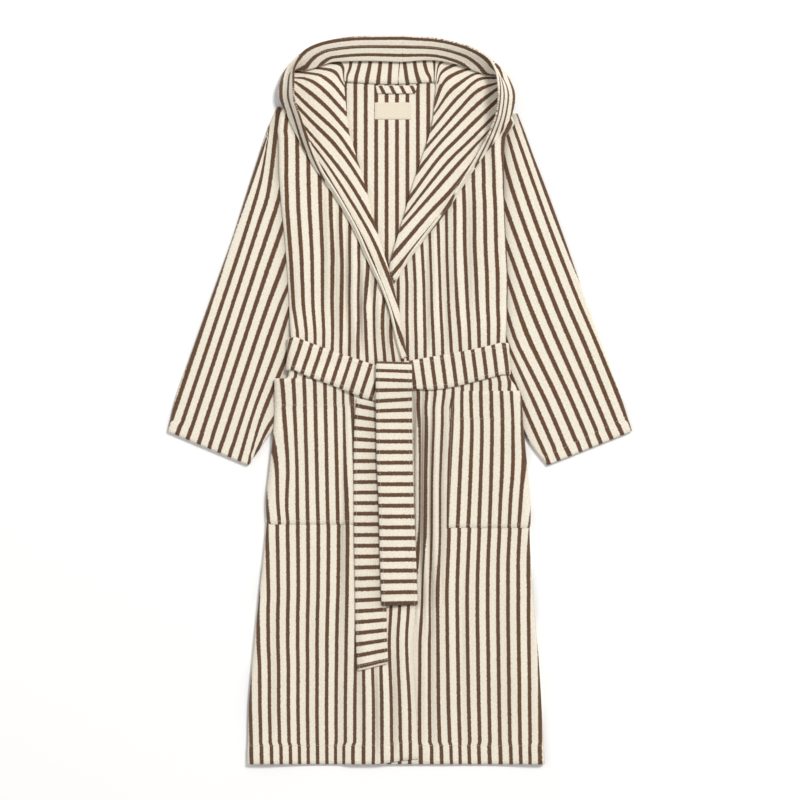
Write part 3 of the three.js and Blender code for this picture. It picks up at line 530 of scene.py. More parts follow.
def cloth_wall(name, points, stripes, thickness, material, ring=False, along=None, painted_shade=0):
    """A closed wall of cloth round a grid of points, whose edges are rounded.

    stripes counts the stripes at each point, for the UV map that the materials read, and
    the painted shade given from 0 to 1 at each point is stored for the materials, which darken the
    colour by it as painted shade in folds and beside other pieces.
    """
    rows, columns = points.shape[:2]
    normals = grid_normals(points, ring)
    half = np.broadcast_to(np.asarray(thickness, float) / 2, (rows, columns))[..., None]
    if along is None:
        along = lengths_along(points, 0)
    coords = np.stack([np.broadcast_to(stripes, (rows, columns)), along], axis=-1)
    mesh = bmesh.new()
    uv_layer = mesh.loops.layers.uv.new("cloth")
    # Painted shade for the materials, stored on each point
    painted_shade_layer = mesh.verts.layers.float.new("painted_shade")
    outer = [[mesh.verts.new(p * METRE) for p in row] for row in points + normals * half]
    inner = [[mesh.verts.new(p * METRE) for p in row] for row in points - normals * half]
    for side in (outer, inner):
        for row, depths in zip(side, np.broadcast_to(painted_shade, (rows, columns)).tolist()):
            for vertex, depth in zip(row, depths):
                vertex[painted_shade_layer] = depth

    def face(corners):
        made = mesh.faces.new([vertex for vertex, _ in corners])
        made.smooth = True
        for loop, (_, coord) in zip(made.loops, corners):
            loop[uv_layer].uv = coord

    def corner(side, j, i):
        return side[j][i % columns], coords[j, i % columns]

    def outward(j, i):
        """The direction away from the cloth at a spot of its edge."""
        push = np.zeros(3)
        if j in (0, rows - 1):
            push += unit(points[j, i] - points[abs(j - 1), i])
        if not ring and i in (0, columns - 1):
            push += unit(points[j, i] - points[j, abs(i - 1)])
        return unit(push)

    def rounded_edge(spots):
        """Closes the wall along an edge of the grid with a half round of two faces."""
        middle = []
        for spot in spots:
            place = points[spot] + outward(*spot) * half[spot] * EDGE_ROUND
            middle.append((mesh.verts.new(place * METRE), coords[spot]))
        for a, b, middle_a, middle_b in zip(spots, spots[1:], middle, middle[1:]):
            face([corner(outer, *b), corner(outer, *a), middle_a, middle_b])
            face([middle_b, middle_a, corner(inner, *a), corner(inner, *b)])

    for j in range(rows - 1):
        for i in range(columns if ring else columns - 1):
            square = ((j, i), (j, i + 1), (j + 1, i + 1), (j + 1, i))
            face([corner(outer, *c) for c in square])
            face([corner(inner, *c) for c in reversed(square)])
    if ring:
        around = [i % columns for i in range(columns + 1)]
        rounded_edge([(0, i) for i in around])
        rounded_edge([(rows - 1, i) for i in reversed(around)])
    else:
        border = [(0, i) for i in range(columns)]
        border += [(j, columns - 1) for j in range(1, rows)]
        border += [(rows - 1, i) for i in range(columns - 2, -1, -1)]
        border += [(j, 0) for j in range(rows - 2, -1, -1)]
        rounded_edge(border)
    bmesh.ops.remove_doubles(mesh, verts=mesh.verts, dist=WELD)
    data = bpy.data.meshes.new(name)
    mesh.to_mesh(data)
    mesh.free()
    data.materials.append(material)
    return new_object(name, data)


# Painted shade in folds, darker the deeper a point lies below the cloth beside it
FOLD_SHADE_STEP = 0.5  # how closely the heights are read, in grid steps
FOLD_SHADE_WINDOW = 27  # readings that the level round a point is taken over
FOLD_SHADE_DEPTH = 4.5  # millimetres at which the painted shade in a fold is at its darkest


def painted_fold_shade(points):
    """How deep each point lies below the cloth beside it, from 0 to 1, which sets the painted shade
    in the folds.
    """
    x, _ = grid_place(points)
    height = points[..., 2]
    made = np.zeros_like(height)
    for k in range(len(x)):
        order = np.argsort(x[k])
        even = np.arange(x[k].min(), x[k].max(), FOLD_SHADE_STEP)
        level = np.interp(even, x[k][order], height[k][order])
        window = np.ones(FOLD_SHADE_WINDOW) / FOLD_SHADE_WINDOW
        around = np.convolve(np.pad(level, FOLD_SHADE_WINDOW // 2, mode="edge"), window, mode="valid")
        made[k] = np.interp(x[k], even, around[: len(even)]) - height[k]
    return np.clip(made / FOLD_SHADE_DEPTH, 0, 1)


END_PAINTED_SHADOW = 0.55  # painted shadow: how dark the cloth is painted beside the front end of the belt
END_SHADOW_REACH = 7
FIRST_HANGING_ROW = 2  # of the belt's front end, below its fold


def painted_shadow_beside_end(points):
    """Painted shadow close beside the front end of the belt, cast by that end, from 0 to 1."""
    x, y = grid_place(points)
    table = BELT_ENDS["front"]
    row = np.linspace(FIRST_HANGING_ROW, len(table.rows) - 1, 60)
    at = table.read(row)
    left = np.interp(y, at["left_y"], at["left_x"])
    right = np.interp(y, at["right_y"], at["right_x"])
    gap = np.maximum(np.maximum(left - x, x - right), 0)
    beside = plateau(y, at["left_y"][0], at["left_y"][-1], END_SHADOW_REACH)
    return END_PAINTED_SHADOW * np.exp(-gap / END_SHADOW_REACH) * beside


def lay(piece, points, node, ring=False, sewn=()):
    """Rides a piece that stands for a node of the frame on the root body, with its stitches, and
    hides the frame's part for that node.
    """
    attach(piece, "root")
    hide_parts(node)
    across = lengths_along(points, 1)[:, -1].max() * PITCH_LENGTH * METRE
    if ring:
        across += float(np.linalg.norm(points[:, 0] - points[:, -1], axis=-1).max()) * METRE
    for stitches in sewn:
        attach(stitches, "root")


# Materials
class Nodes:
    """Makes the nodes of a tree."""

    def __init__(self, tree):
        self.tree = tree

    def feed(self, node, inputs):
        """Gives a node's inputs their values, or links them to other nodes' outputs."""
        for key, value in inputs.items():
            if isinstance(value, bpy.types.NodeSocket):
                self.tree.links.new(value, node.inputs[key])
            else:
                node.inputs[key].default_value = value

    def make(self, kind, inputs=None, **settings):
        made = self.tree.nodes.new(kind)
        for key, value in settings.items():
            setattr(made, key, value)
        self.feed(made, inputs or {})
        return made

    def math(self, operation, *values):
        return self.make("ShaderNodeMath", dict(enumerate(values)), operation=operation).outputs[0]

    def blend(self, share, first, second):
        """A colour between two others."""
        inputs = {0: share, 6: first, 7: second}
        return self.make("ShaderNodeMix", inputs, data_type="RGBA").outputs[2]

    def bump(self, height, strength, distance):
        sizes = {"Height": height, "Strength": strength, "Distance": distance}
        return self.make("ShaderNodeBump", sizes).outputs["Normal"]

    def shade(self, **looks):
        """Sets the shader's inputs, whose names are given with _ for each space."""
        looks = {name.replace("_", " "): value for name, value in looks.items()}
        self.feed(self.tree.nodes["Principled BSDF"], looks)


def new_material(name):
    """A material and the maker of its nodes."""
    material = bpy.data.materials.new(name)
    material.use_nodes = True
    return material, Nodes(material.node_tree)


CREAM = (0.90, 0.84, 0.725, 1)
CREAM_DEEP = (0.68, 0.61, 0.49, 1)
BROWN = (0.160, 0.082, 0.043, 1)
BROWN_DEEP = (0.055, 0.026, 0.013, 1)
STRIPE_HALF = 0.19  # half a brown stripe, in pitches
LOOPS_PER_PITCH = 11  # terry loops from one stripe to the next
STRIPE_SOFT = 0.035  # how far a stripe's edge fades, in pitches
PAINTED_SHADE_STRENGTH = 0.62  # painted shade: how much darker the colour is painted where the cloth lies in a fold, beside the belt's front end and beside the body
LABEL_DARK = (0.72, 0.63, 0.50, 1)
LABEL_LIGHT = (0.83, 0.74, 0.61, 1)
THREAD_DARK = (0.555, 0.5025, 0.42, 1)
THREAD_LIGHT = (0.74, 0.67, 0.56, 1)


def striped_terry(name):
    """Looped terry with narrow brown stripes where the UV map's first value is whole, with painted
    shade between its loops and in its folds.
    """
    material, nodes = new_material(name)
    make, math_node = nodes.make, nodes.math
    cloth = make("ShaderNodeUVMap", uv_map="cloth").outputs["UV"]

    def noise_about_nought(width, **sizes):
        grain = make("ShaderNodeTexNoise", {"Vector": cloth, **sizes}).outputs["Fac"]
        return math_node("MULTIPLY", math_node("SUBTRACT", grain, 0.5), width)

    def share_between(value, start, end, **settings):
        """0 where the value is at its start and 1 at its end."""
        inputs = {"Value": value, "From Min": start, "From Max": end}
        return make("ShaderNodeMapRange", inputs, **settings).outputs["Result"]

    across = make("ShaderNodeSeparateXYZ", {"Vector": cloth}).outputs["X"]
    slow = noise_about_nought(0.07, Scale=4.0, Detail=4.0)
    quick = noise_about_nought(0.22, Scale=13.0, Detail=3.0)
    place = math_node("ADD", math_node("ADD", across, slow), quick)
    in_pitch = math_node("FRACT", math_node("ADD", place, 0.5))
    from_stripe = math_node("ABSOLUTE", math_node("SUBTRACT", in_pitch, 0.5))
    outside, inside = STRIPE_HALF + STRIPE_SOFT, STRIPE_HALF - STRIPE_SOFT
    is_brown = share_between(from_stripe, outside, inside, interpolation_type="SMOOTHSTEP")

    sizes = {"Vector": cloth, "Scale": float(LOOPS_PER_PITCH), "Randomness": 0.85}
    loops = make("ShaderNodeTexVoronoi", sizes, feature="SMOOTH_F1").outputs["Distance"]
    # Painted shade between the loops: their tops are lighter and the gaps darker; the tufts vary the
    # tone at random
    loop_top = share_between(loops, 0.6, 0.05)
    tufts = noise_about_nought(1.5, Scale=6.0, Detail=4.0, Roughness=0.65)
    light = math_node("ADD", math_node("MULTIPLY", loop_top, 0.5), math_node("ADD", tufts, 0.42))
    cream = nodes.blend(light, CREAM_DEEP, CREAM)
    brown = nodes.blend(light, BROWN_DEEP, BROWN)
    # Painted shade: the colour is darkened towards deep brown by the shade stored on each point of
    # the mesh
    painted_shade = make("ShaderNodeAttribute", attribute_name="painted_shade").outputs["Fac"]
    depth = math_node("MULTIPLY", painted_shade, PAINTED_SHADE_STRENGTH)

    sizes = {"Vector": cloth, "Scale": 1.0, "Distortion": 1.2, "Detail": 2.0, "Detail Scale": 2.0}
    bands = make("ShaderNodeTexWave", sizes, wave_type="BANDS", bands_direction="X")
    ribs = math_node("MULTIPLY", bands.outputs["Fac"], 0.25)
    relief = math_node("ADD", math_node("MULTIPLY", loop_top, 0.8), ribs)
    nodes.shade(
        Base_Color=nodes.blend(depth, nodes.blend(is_brown, cream, brown), BROWN_DEEP),
        Normal=nodes.bump(relief, 0.55, 0.0011),
        Roughness=0.95,
        Specular_IOR_Level=0.12,
        Sheen_Weight=0.22,
        Sheen_Roughness=0.6,
        Sheen_Tint=(1.0, 0.95, 0.88, 1),
    )
    return material


def label_cloth():
    """The label's plain weave, with threads that run across it."""
    material, nodes = new_material("label weave")
    cloth = nodes.make("ShaderNodeUVMap", uv_map="cloth").outputs["UV"]
    sizes = {"Vector": cloth, "Scale": 14.0, "Distortion": 0.6}
    weave = nodes.make("ShaderNodeTexWave", sizes, bands_direction="Y").outputs["Fac"]
    nodes.shade(
        Base_Color=nodes.blend(weave, LABEL_DARK, LABEL_LIGHT),
        Normal=nodes.bump(weave, 0.3, 0.0003),
        Roughness=0.7,
        Sheen_Weight=0.2,
    )
    return material


def hem_thread():
    """The thread of the stitches, darker between its strands."""
    material, nodes = new_material("hem thread")
    place = nodes.make("ShaderNodeTexCoord").outputs["Object"]
    twist = nodes.make("ShaderNodeTexNoise", {"Vector": place, "Scale": 900.0}).outputs["Fac"]
    nodes.shade(Base_Color=nodes.blend(twist, THREAD_DARK, THREAD_LIGHT), Roughness=0.6)
    return material


TERRY = striped_terry("striped terry")
BELT_TERRY = striped_terry("striped terry of the belt")
LABEL_WEAVE = label_cloth()
HEM_THREAD = hem_thread()

# Stitches
STITCH_GAP = 4.0
STITCH_LENGTH = 3.0
STITCH_THICKNESS = 0.7
STITCH_SEED = 7
STITCH_RISE = 0.1  # how far a stitch's middle stands above the cloth


def stitching_tree():
    """Geometry Nodes that lay a stitch at even gaps along each line of a mesh."""
    tree = bpy.data.node_groups.new("stitching", "GeometryNodeTree")
    face = tree.interface
    face.new_socket("Lines", in_out="INPUT", socket_type="NodeSocketGeometry")
    for name in ("Gap", "Length", "Thickness"):
        face.new_socket(name, in_out="INPUT", socket_type="NodeSocketFloat")
    face.new_socket("Stitches", in_out="OUTPUT", socket_type="NodeSocketGeometry")

    make = Nodes(tree).make
    given = make("NodeGroupInput").outputs
    curve = make("GeometryNodeMeshToCurve", {"Mesh": given["Lines"]}).outputs["Curve"]
    even = {"Curve": curve, "Length": given["Gap"]}
    spots = make("GeometryNodeCurveToPoints", even, mode="LENGTH")
    tangent = spots.outputs["Tangent"]
    turn = make("FunctionNodeAlignRotationToVector", {"Vector": tangent}, axis="X")
    ball = make("GeometryNodeMeshUVSphere", {"Segments": 6, "Rings": 4, "Radius": 0.5})
    shape = make(
        "ShaderNodeCombineXYZ",
        {"X": given["Length"], "Y": given["Thickness"], "Z": given["Thickness"]},
    )
    stitch = make(
        "GeometryNodeTransform", {"Geometry": ball.outputs["Mesh"], "Scale": shape.outputs["Vector"]}
    )
    uneven = make(
        "FunctionNodeRandomValue",
        {"Min": (0.85, 0.9, 0.9), "Max": (1.1, 1.1, 1.1), "Seed": STITCH_SEED},
        data_type="FLOAT_VECTOR",
    )
    laid = make(
        "GeometryNodeInstanceOnPoints",
        {
            "Points": spots.outputs["Points"],
            "Instance": stitch.outputs["Geometry"],
            "Rotation": turn.outputs["Rotation"],
            "Scale": uneven.outputs[0],
        },
    )
    real = make("GeometryNodeRealizeInstances", {"Geometry": laid.outputs["Instances"]})
    smooth = make("GeometryNodeSetShadeSmooth", {"Geometry": real.outputs["Geometry"]})
    dyed = make(
        "GeometryNodeSetMaterial",
        {"Geometry": smooth.outputs["Geometry"], "Material": HEM_THREAD},
    )
    make("NodeGroupOutput", {"Stitches": dyed.outputs["Geometry"]})
    return tree


STITCHING = stitching_tree()


def stitches_along(name, lines, gap=STITCH_GAP, length=STITCH_LENGTH, thickness=STITCH_THICKNESS):
    """A piece of stitches along lines of points, which are in millimetres."""
    mesh = bpy.data.meshes.new(name)
    spots = np.concatenate(lines) * METRE
    edges = []
    first = 0
    for line in lines:
        edges += [(first + k, first + k + 1) for k in range(len(line) - 1)]
        first += len(line)
    mesh.from_pydata(spots.tolist(), edges, [])
    guide = new_object(name, mesh)
    modifier = guide.modifiers.new("stitching", "NODES")
    modifier.node_group = STITCHING
    sizes = {"Gap": gap, "Length": length, "Thickness": thickness}
    for item in STITCHING.interface.items_tree:
        if item.name in sizes:
            modifier[item.identifier] = sizes[item.name] * METRE
    graph = bpy.context.evaluated_depsgraph_get()
    made = bpy.data.meshes.new_from_object(guide.evaluated_get(graph))
    bpy.data.objects.remove(guide)
    bpy.data.meshes.remove(mesh)
    return new_object(name, made)


def upper_face(points, thickness, ring=False):
    """The grid of points on the outer side of a wall, a little above it for its stitches."""
    half = np.broadcast_to(np.asarray(thickness, float) / 2, points.shape[:2])
    return points + grid_normals(points, ring) * (half + STITCH_RISE)[..., None]


def row_at(distance, depth):
    """The row of a grid whose distance from its free edge is nearest to a depth."""
    of_rows = np.asarray(distance).reshape(len(distance), -1).mean(axis=1)
    return int(np.argmin(np.abs(of_rows - depth)))


# Body
TURN_SHARE = 0.12
POCKET_SHARE = 0.6


def shares(*stretches):
    """Positions from stretches of (start, end, count), each end given once."""
    made = [stretches[0][0]]
    for start, end, count in stretches:
        made += [mix(start, end, (k + 1) / count) for k in range(count)]
    return np.array(made)


STITCHED_IN = 3.0  # how far the stitches lie inside a hem's turned edge
GROOVE_DEPTH = 1.3
GROOVE_HALF = 2.2
HEM_SLIP = 0.16  # how far the stripes slip sideways below a hem's stitches, in pitches
HEM_SLIP_SCALE = 26
HEM_SLIP_SEED = 5.3
HEM_STEP = 3.0  # over which a turned hem comes to its full thickness


def hem_rib(distance, depth, extra=HEM_EXTRA):
    """Extra thickness of a turned hem, less its stitched groove, from its free edge."""
    turned = extra * ease((depth - distance) / HEM_STEP + 0.5)
    groove = np.exp(-(((distance - depth + STITCHED_IN) / GROOVE_HALF) ** 2))
    return turned - GROOVE_DEPTH * groove


def hem_slip(points, distance, depth, slip=HEM_SLIP):
    """How far the stripes slip where the cloth is turned up, in pitches."""
    x, _ = grid_place(points)
    turned = ease((depth - STITCHED_IN - distance) / GROOVE_HALF + 0.5)
    return slip * turned * softness(x, 0, HEM_SLIP_SCALE, HEM_SLIP_SEED)


TOPS = {"left": 92, "right": 90}  # where each front ends beside the neck
SHOULDER_DROPS = {"left": 12, "right": 10}  # how much lower it ends at the armhole
SHOULDER_FADE = 60
SHORT_CORNER_BY = 5  # how much shorter the left front is at its lower inner corner
SHORT_CORNER_ACROSS = 0.72
SHORT_CORNER_ABOVE = 70


def front_surface(hand, y, share, edge=None):
    """Middle points and stripe counts of a front, for grids of y and share.

    edge is a table of where the outer edge lies, if that isn't the side of the body.
    """
    y, share = np.broadcast_arrays(np.asarray(y, float), np.asarray(share, float))
    inward = inward_of(hand)
    side = edge.column("x", y) if edge else SIDES.column(hand, y)
    opening = OPENINGS[hand].column("x", y)
    line = POCKET_LINES[hand].column("x", y)
    flat_from = side + inward * FOLD_WIDTH
    over_sleeve = SLEEVE_HEIGHT + SLEEVE_CLEAR + waist_rise(y)
    low = mix(over_sleeve, SEAM_HEIGHT + SEAM_GAP / 2, off_sleeve(y))
    turn = np.clip(share / TURN_SHARE, 0, 1)
    to_line = (share - TURN_SHARE) / (POCKET_SHARE - TURN_SHARE)
    to_open = (share - POCKET_SHARE) / (1 - POCKET_SHARE)
    turning = share < TURN_SHARE
    x = np.where(
        turning,
        side + inward * FOLD_WIDTH * (1 - np.cos(turn * math.pi / 2)),
        np.where(to_line < 1, mix(flat_from, line, to_line), mix(line, opening, to_open)),
    )
    height = front_height(hand, np.where(turning, flat_from, x), y)
    z = np.where(turning, mix(low, height, np.sin(turn * math.pi / 2)), height)
    slope = SHOULDER_DROPS[hand] * (1 - share) * (1 - ease((y - TOPS[hand]) / SHOULDER_FADE))
    short = 0
    if hand == "left":
        corner = ease((share - SHORT_CORNER_ACROSS) / (1 - SHORT_CORNER_ACROSS))
        near_hem = ease((y - HEM_Y + SHORT_CORNER_ABOVE) / SHORT_CORNER_ABOVE)
        short = SHORT_CORNER_BY * corner * near_hem
    return on_plan(x, y + slope - short, z), stripes_of_front(hand, x, y, z)


def stripes_of_front(hand, x, y, z):
    """Counts stripes along the cloth, so that they crowd together where it's gathered."""
    counts = FRONT_STRIPES[hand].read(y)
    line = POCKET_LINES[hand].column("x", y)
    run = np.zeros_like(x)
    step = np.hypot(np.diff(x, axis=1), np.diff(z, axis=1) / MM_PER_STEP)
    run[:, 1:] = np.cumsum(step, axis=1)
    inward = inward_of(hand)
    rows = zip(x, run, line[:, 0])
    at_line = [np.interp(inward * at, inward * row_x, row_run) for row_x, row_run, at in rows]
    at_line = np.array(at_line)[:, None]
    past_line = run - at_line
    to_open = np.maximum(run[:, -1:] - at_line, NARROWEST_GAP)
    before = mix(counts["side"], counts["line"], run / np.maximum(at_line, NARROWEST_GAP))
    after = mix(counts["line"], counts["open"], past_line / to_open)
    return np.where(past_line < 0, before, after)


FRONT_SHARES = shares((0, TURN_SHARE, 6), (TURN_SHARE, POCKET_SHARE, 36), (POCKET_SHARE, 1, 84))
FRONT_STEPS = 190  # rows of points from the hem to the top
POCKET_ROWS = {"left": (379, 524), "right": (391.5, 527.5)}


def make_front(hand):
    y = np.linspace(HEM_Y, TOPS[hand], FRONT_STEPS)[:, None]
    points, stripes = front_surface(hand, y, FRONT_SHARES)
    from_hem = (HEM_Y - y) * MM_PER_STEP
    stripes = stripes + hem_slip(points, from_hem, HEM_DEPTH)
    thickness = CLOTH + hem_rib(from_hem, HEM_DEPTH)
    if hand == "right":
        points, stripes = turned_round(points, stripes)
    # Painted shade in the folds, and painted shadow beside the belt's front end
    painted_shade = np.minimum(painted_fold_shade(points) + painted_shadow_beside_end(points), 1)
    piece = cloth_wall(f"{hand}_front", points, stripes, thickness, TERRY, painted_shade=painted_shade)
    hem = upper_face(points, thickness)[row_at(from_hem, HEM_DEPTH - STITCHED_IN)]
    sewn = [stitches_along(f"{hand}_hem_stitches", [hem])]
    lay(piece, points, f"front_{hand}", sewn=sewn)


POCKET_CLOTH = 2.2
POCKET_LIFT = 2.7
POCKET_HEM_EXTRA = 1.0
SEAM_PRESS = 4  # how far in from a seam the pocket is pressed down
PRESSED_LIFT = 0.6  # the shares of its lift and cloth that a pocket keeps at its seams
PRESSED_CLOTH = 0.65
POCKET_STEPS = 46


def make_pocket(hand):
    top, bottom = POCKET_ROWS[hand]
    y = np.linspace(bottom, top, POCKET_STEPS)[:, None]
    share = FRONT_SHARES[FRONT_SHARES <= POCKET_SHARE + TINY]
    points, _ = front_surface(hand, y, share, POCKET_EDGES[hand])
    stripes = StripeChart(*POCKET_STRIPES[hand]).count(*grid_place(points))
    if hand == "right":
        points, stripes = turned_round(points, stripes)
    x, _ = grid_place(points)
    line = POCKET_LINES[hand].column("x", y)
    from_seam = np.minimum((bottom - y), np.abs(x - line)) * MM_PER_STEP
    pressed = np.exp(-from_seam / SEAM_PRESS)
    lift = POCKET_LIFT * mix(1, PRESSED_LIFT, pressed)
    points = points + grid_normals(points, False) * lift[..., None]
    from_top = (y - top) * MM_PER_STEP
    stripes = stripes + hem_slip(points, from_top, POCKET_HEM_DEPTH, HEM_SLIP / 3)
    hem = hem_rib(from_top, POCKET_HEM_DEPTH, POCKET_HEM_EXTRA)
    thickness = POCKET_CLOTH * mix(1, PRESSED_CLOTH, pressed) + hem
    piece = cloth_wall(f"{hand}_pocket", points, stripes, thickness, TERRY)
    face = upper_face(points, thickness)
    inner = -2 if hand == "left" else 1
    lines = [face[row_at(from_top, POCKET_HEM_DEPTH - STITCHED_IN)], face[1], face[:, inner]]
    sewn = [stitches_along(f"{hand}_pocket_stitches", lines)]
    lay(piece, points, f"pocket_{hand}", sewn=sewn)


# Back
NECK_MIDDLE = 391
NECK_HALF = 46
NECK_DIP = 2.4


def neck_dip(x):
    """How far the neck seam hangs below its ends, in grid steps."""
    return NECK_DIP * np.maximum(1 - ((x - NECK_MIDDLE) / NECK_HALF) ** 2, 0)


BACK_EDGES = Table(
    "y left right curl",
    (82.3, 345, 435, 0), (96, 322, 466, 0), (112, 303, 485, 0), (300, 303, 486, 0),
    (334, 315, 478, 0), (378, 315, 478, 0), (395, 303, 488, 0), (414, 292, 505, 0),
    (436, 276.5, 520.2, 0.6), (448, 273.8, 523, 1), (763, 248.5, 543.5, 1),
)
BACK_CENTRE_STRIPE = 397
NECK_TOP = 82.3
NECK_FADE = 22
BACK_STEPS = 150


def make_back():
    y = np.linspace(HEM_Y, NECK_TOP, BACK_STEPS)[:, None]
    far_turn = 1 - TURN_SHARE
    u = shares((0, TURN_SHARE, 5), (TURN_SHARE, far_turn, 56), (far_turn, 1, 5))
    y, u = np.broadcast_arrays(y, u[None, :])
    edge = BACK_EDGES.read(y)
    left = mix(edge["left"], SIDES.column("left", y), edge["curl"])
    right = mix(edge["right"], SIDES.column("right", y), edge["curl"])
    flat = CLOTH / 2 + waist_rise(y)
    lip = edge["curl"] * (SEAM_HEIGHT - SEAM_GAP / 2 - flat)
    turn = np.clip(np.minimum(u, 1 - u) / TURN_SHARE, 0, 1)
    inward = FOLD_WIDTH * (1 - np.cos(turn * math.pi / 2))
    across = (u - TURN_SHARE) / (1 - 2 * TURN_SHARE)
    x = np.where(
        turn < 1,
        np.where(u < 0.5, left + inward, right - inward),
        mix(left + FOLD_WIDTH, right - FOLD_WIDTH, across),
    )
    z = flat + lip * (1 - np.sin(turn * math.pi / 2))
    dip = neck_dip(x) * (1 - ease((y - NECK_TOP) / NECK_FADE))
    points = on_plan(x, y + dip, z)
    stripes = (x - BACK_CENTRE_STRIPE) / STRIPE_PITCH
    thickness = CLOTH + hem_rib((HEM_Y - y) * MM_PER_STEP, HEM_DEPTH, 0.0)
    piece = cloth_wall("back_panel", points, stripes, thickness, TERRY)
    lay(piece, points, "back")


# Sleeves
SLEEVES = {
    "left": Table(
        "row outer_x outer_y inner_x inner_y",
        (0, 168, 430.5, 249, 464.5), (1, 176, 397, 261, 447.5), (2, 191, 355, 275, 427),
        (3, 213.5, 292, 293, 385), (4, 233.5, 236, 297, 300), (5, 249, 187, 298, 220),
        (6, 260, 153, 298, 168), (7, 268, 128.5, 299, 138), (8, 277.5, 107, 302, 117),
    ),
    "right": Table(
        "row outer_x outer_y inner_x inner_y",
        (0, 631.5, 430.5, 547, 464.5), (1, 621, 397, 535, 450.5), (2, 606, 355, 521, 427.5),
        (3, 583, 292, 503, 385), (4, 563, 235, 497, 300), (5, 545, 186, 493, 220),
        (6, 533, 155, 491, 170), (7, 525, 133, 491.5, 137), (8, 517.5, 114, 492, 117),
    ),
}
SLEEVE_STEPS = 110
ROUND_SHARE = 0.3  # of half a sleeve's ring, that is its round side
CUFF_EXTRA = 0.8
ARMHOLES = {"left": (125, 175), "right": (140, 190)}  # where the gathered armhole runs
ARMHOLE_FADE = 14
ARMHOLE_SHADE_DEEPER = 1.7
SIDE_PAINTED_SHADE = 0.55  # painted shade: how dark a sleeve is painted beside the body
SIDE_SHADE_REACH = 5


def make_sleeve(hand):
    table = SLEEVES[hand]
    row = np.linspace(0, len(table.rows) - 1, SLEEVE_STEPS)[:, None]
    half_ring = shares((0, ROUND_SHARE / 2, 6), (ROUND_SHARE / 2, 0.5, 24))
    ring = np.concatenate([half_ring[:-1], half_ring[:-1] + 0.5])[None, :]
    if hand == "right":
        ring = (1 - ring[:, ::-1]) % 1
    at = table.read(row)
    outer = on_plan(at["outer_x"], at["outer_y"], SLEEVE_HEIGHT / 2)
    inner = on_plan(at["inner_x"], at["inner_y"], SLEEVE_HEIGHT / 2)
    middle = (outer + inner) / 2
    across = inner - outer
    width = np.linalg.norm(across, axis=-1)
    direction = across / width[..., None]
    radius = (SLEEVE_HEIGHT - CLOTH) / 2
    reach = width / 2 - radius - CLOTH / 2
    upper = np.where(ring < 0.5, 1.0, -1.0)
    t = (ring * 2) % 1
    angle = math.pi * (t / ROUND_SHARE - 0.5)
    is_round = t < ROUND_SHARE
    straight = (t - ROUND_SHARE) / (1 - ROUND_SHARE)
    sideways = np.where(is_round, reach + radius * np.cos(angle), mix(reach, -reach, straight))
    up = np.where(is_round, radius * np.sin(angle), radius)
    points = middle + direction * (upper * sideways)[..., None]
    points[..., 2] += upper * up
    stripes = StripeChart(*SLEEVE_STRIPES[hand]).count(*grid_place(points))
    from_cuff = lengths_along(points, 0) * PITCH_LENGTH
    stripes = stripes + hem_slip(points, from_cuff, CUFF_DEPTH)
    thickness = CLOTH + hem_rib(from_cuff, CUFF_DEPTH, CUFF_EXTRA)
    x, y = grid_place(points)
    outside = (SIDES.column(hand, y) - x) * inward_of(hand)
    # Painted shade on the sleeve beside the body, made deeper where the armhole is gathered
    painted_shade = SIDE_PAINTED_SHADE * np.exp(-np.maximum(outside, 0) / SIDE_SHADE_REACH)
    gathered = plateau(y, *ARMHOLES[hand], ARMHOLE_FADE)
    painted_shade = mix(painted_shade, np.minimum(painted_shade * ARMHOLE_SHADE_DEEPER, 1), gathered)
    name = f"{hand}_sleeve"
    piece = cloth_wall(name, points, stripes, thickness, TERRY, ring=True, painted_shade=painted_shade)
    cuff = upper_face(points, thickness, True)[row_at(from_cuff, CUFF_DEPTH - STITCHED_IN)]
    upper_cuff = cuff[1 : len(cuff) // 2]
    sewn = [stitches_along(f"{hand}_cuff_stitches", [upper_cuff])]
    lay(piece, points, f"sleeve_{hand}", ring=True, sewn=sewn)


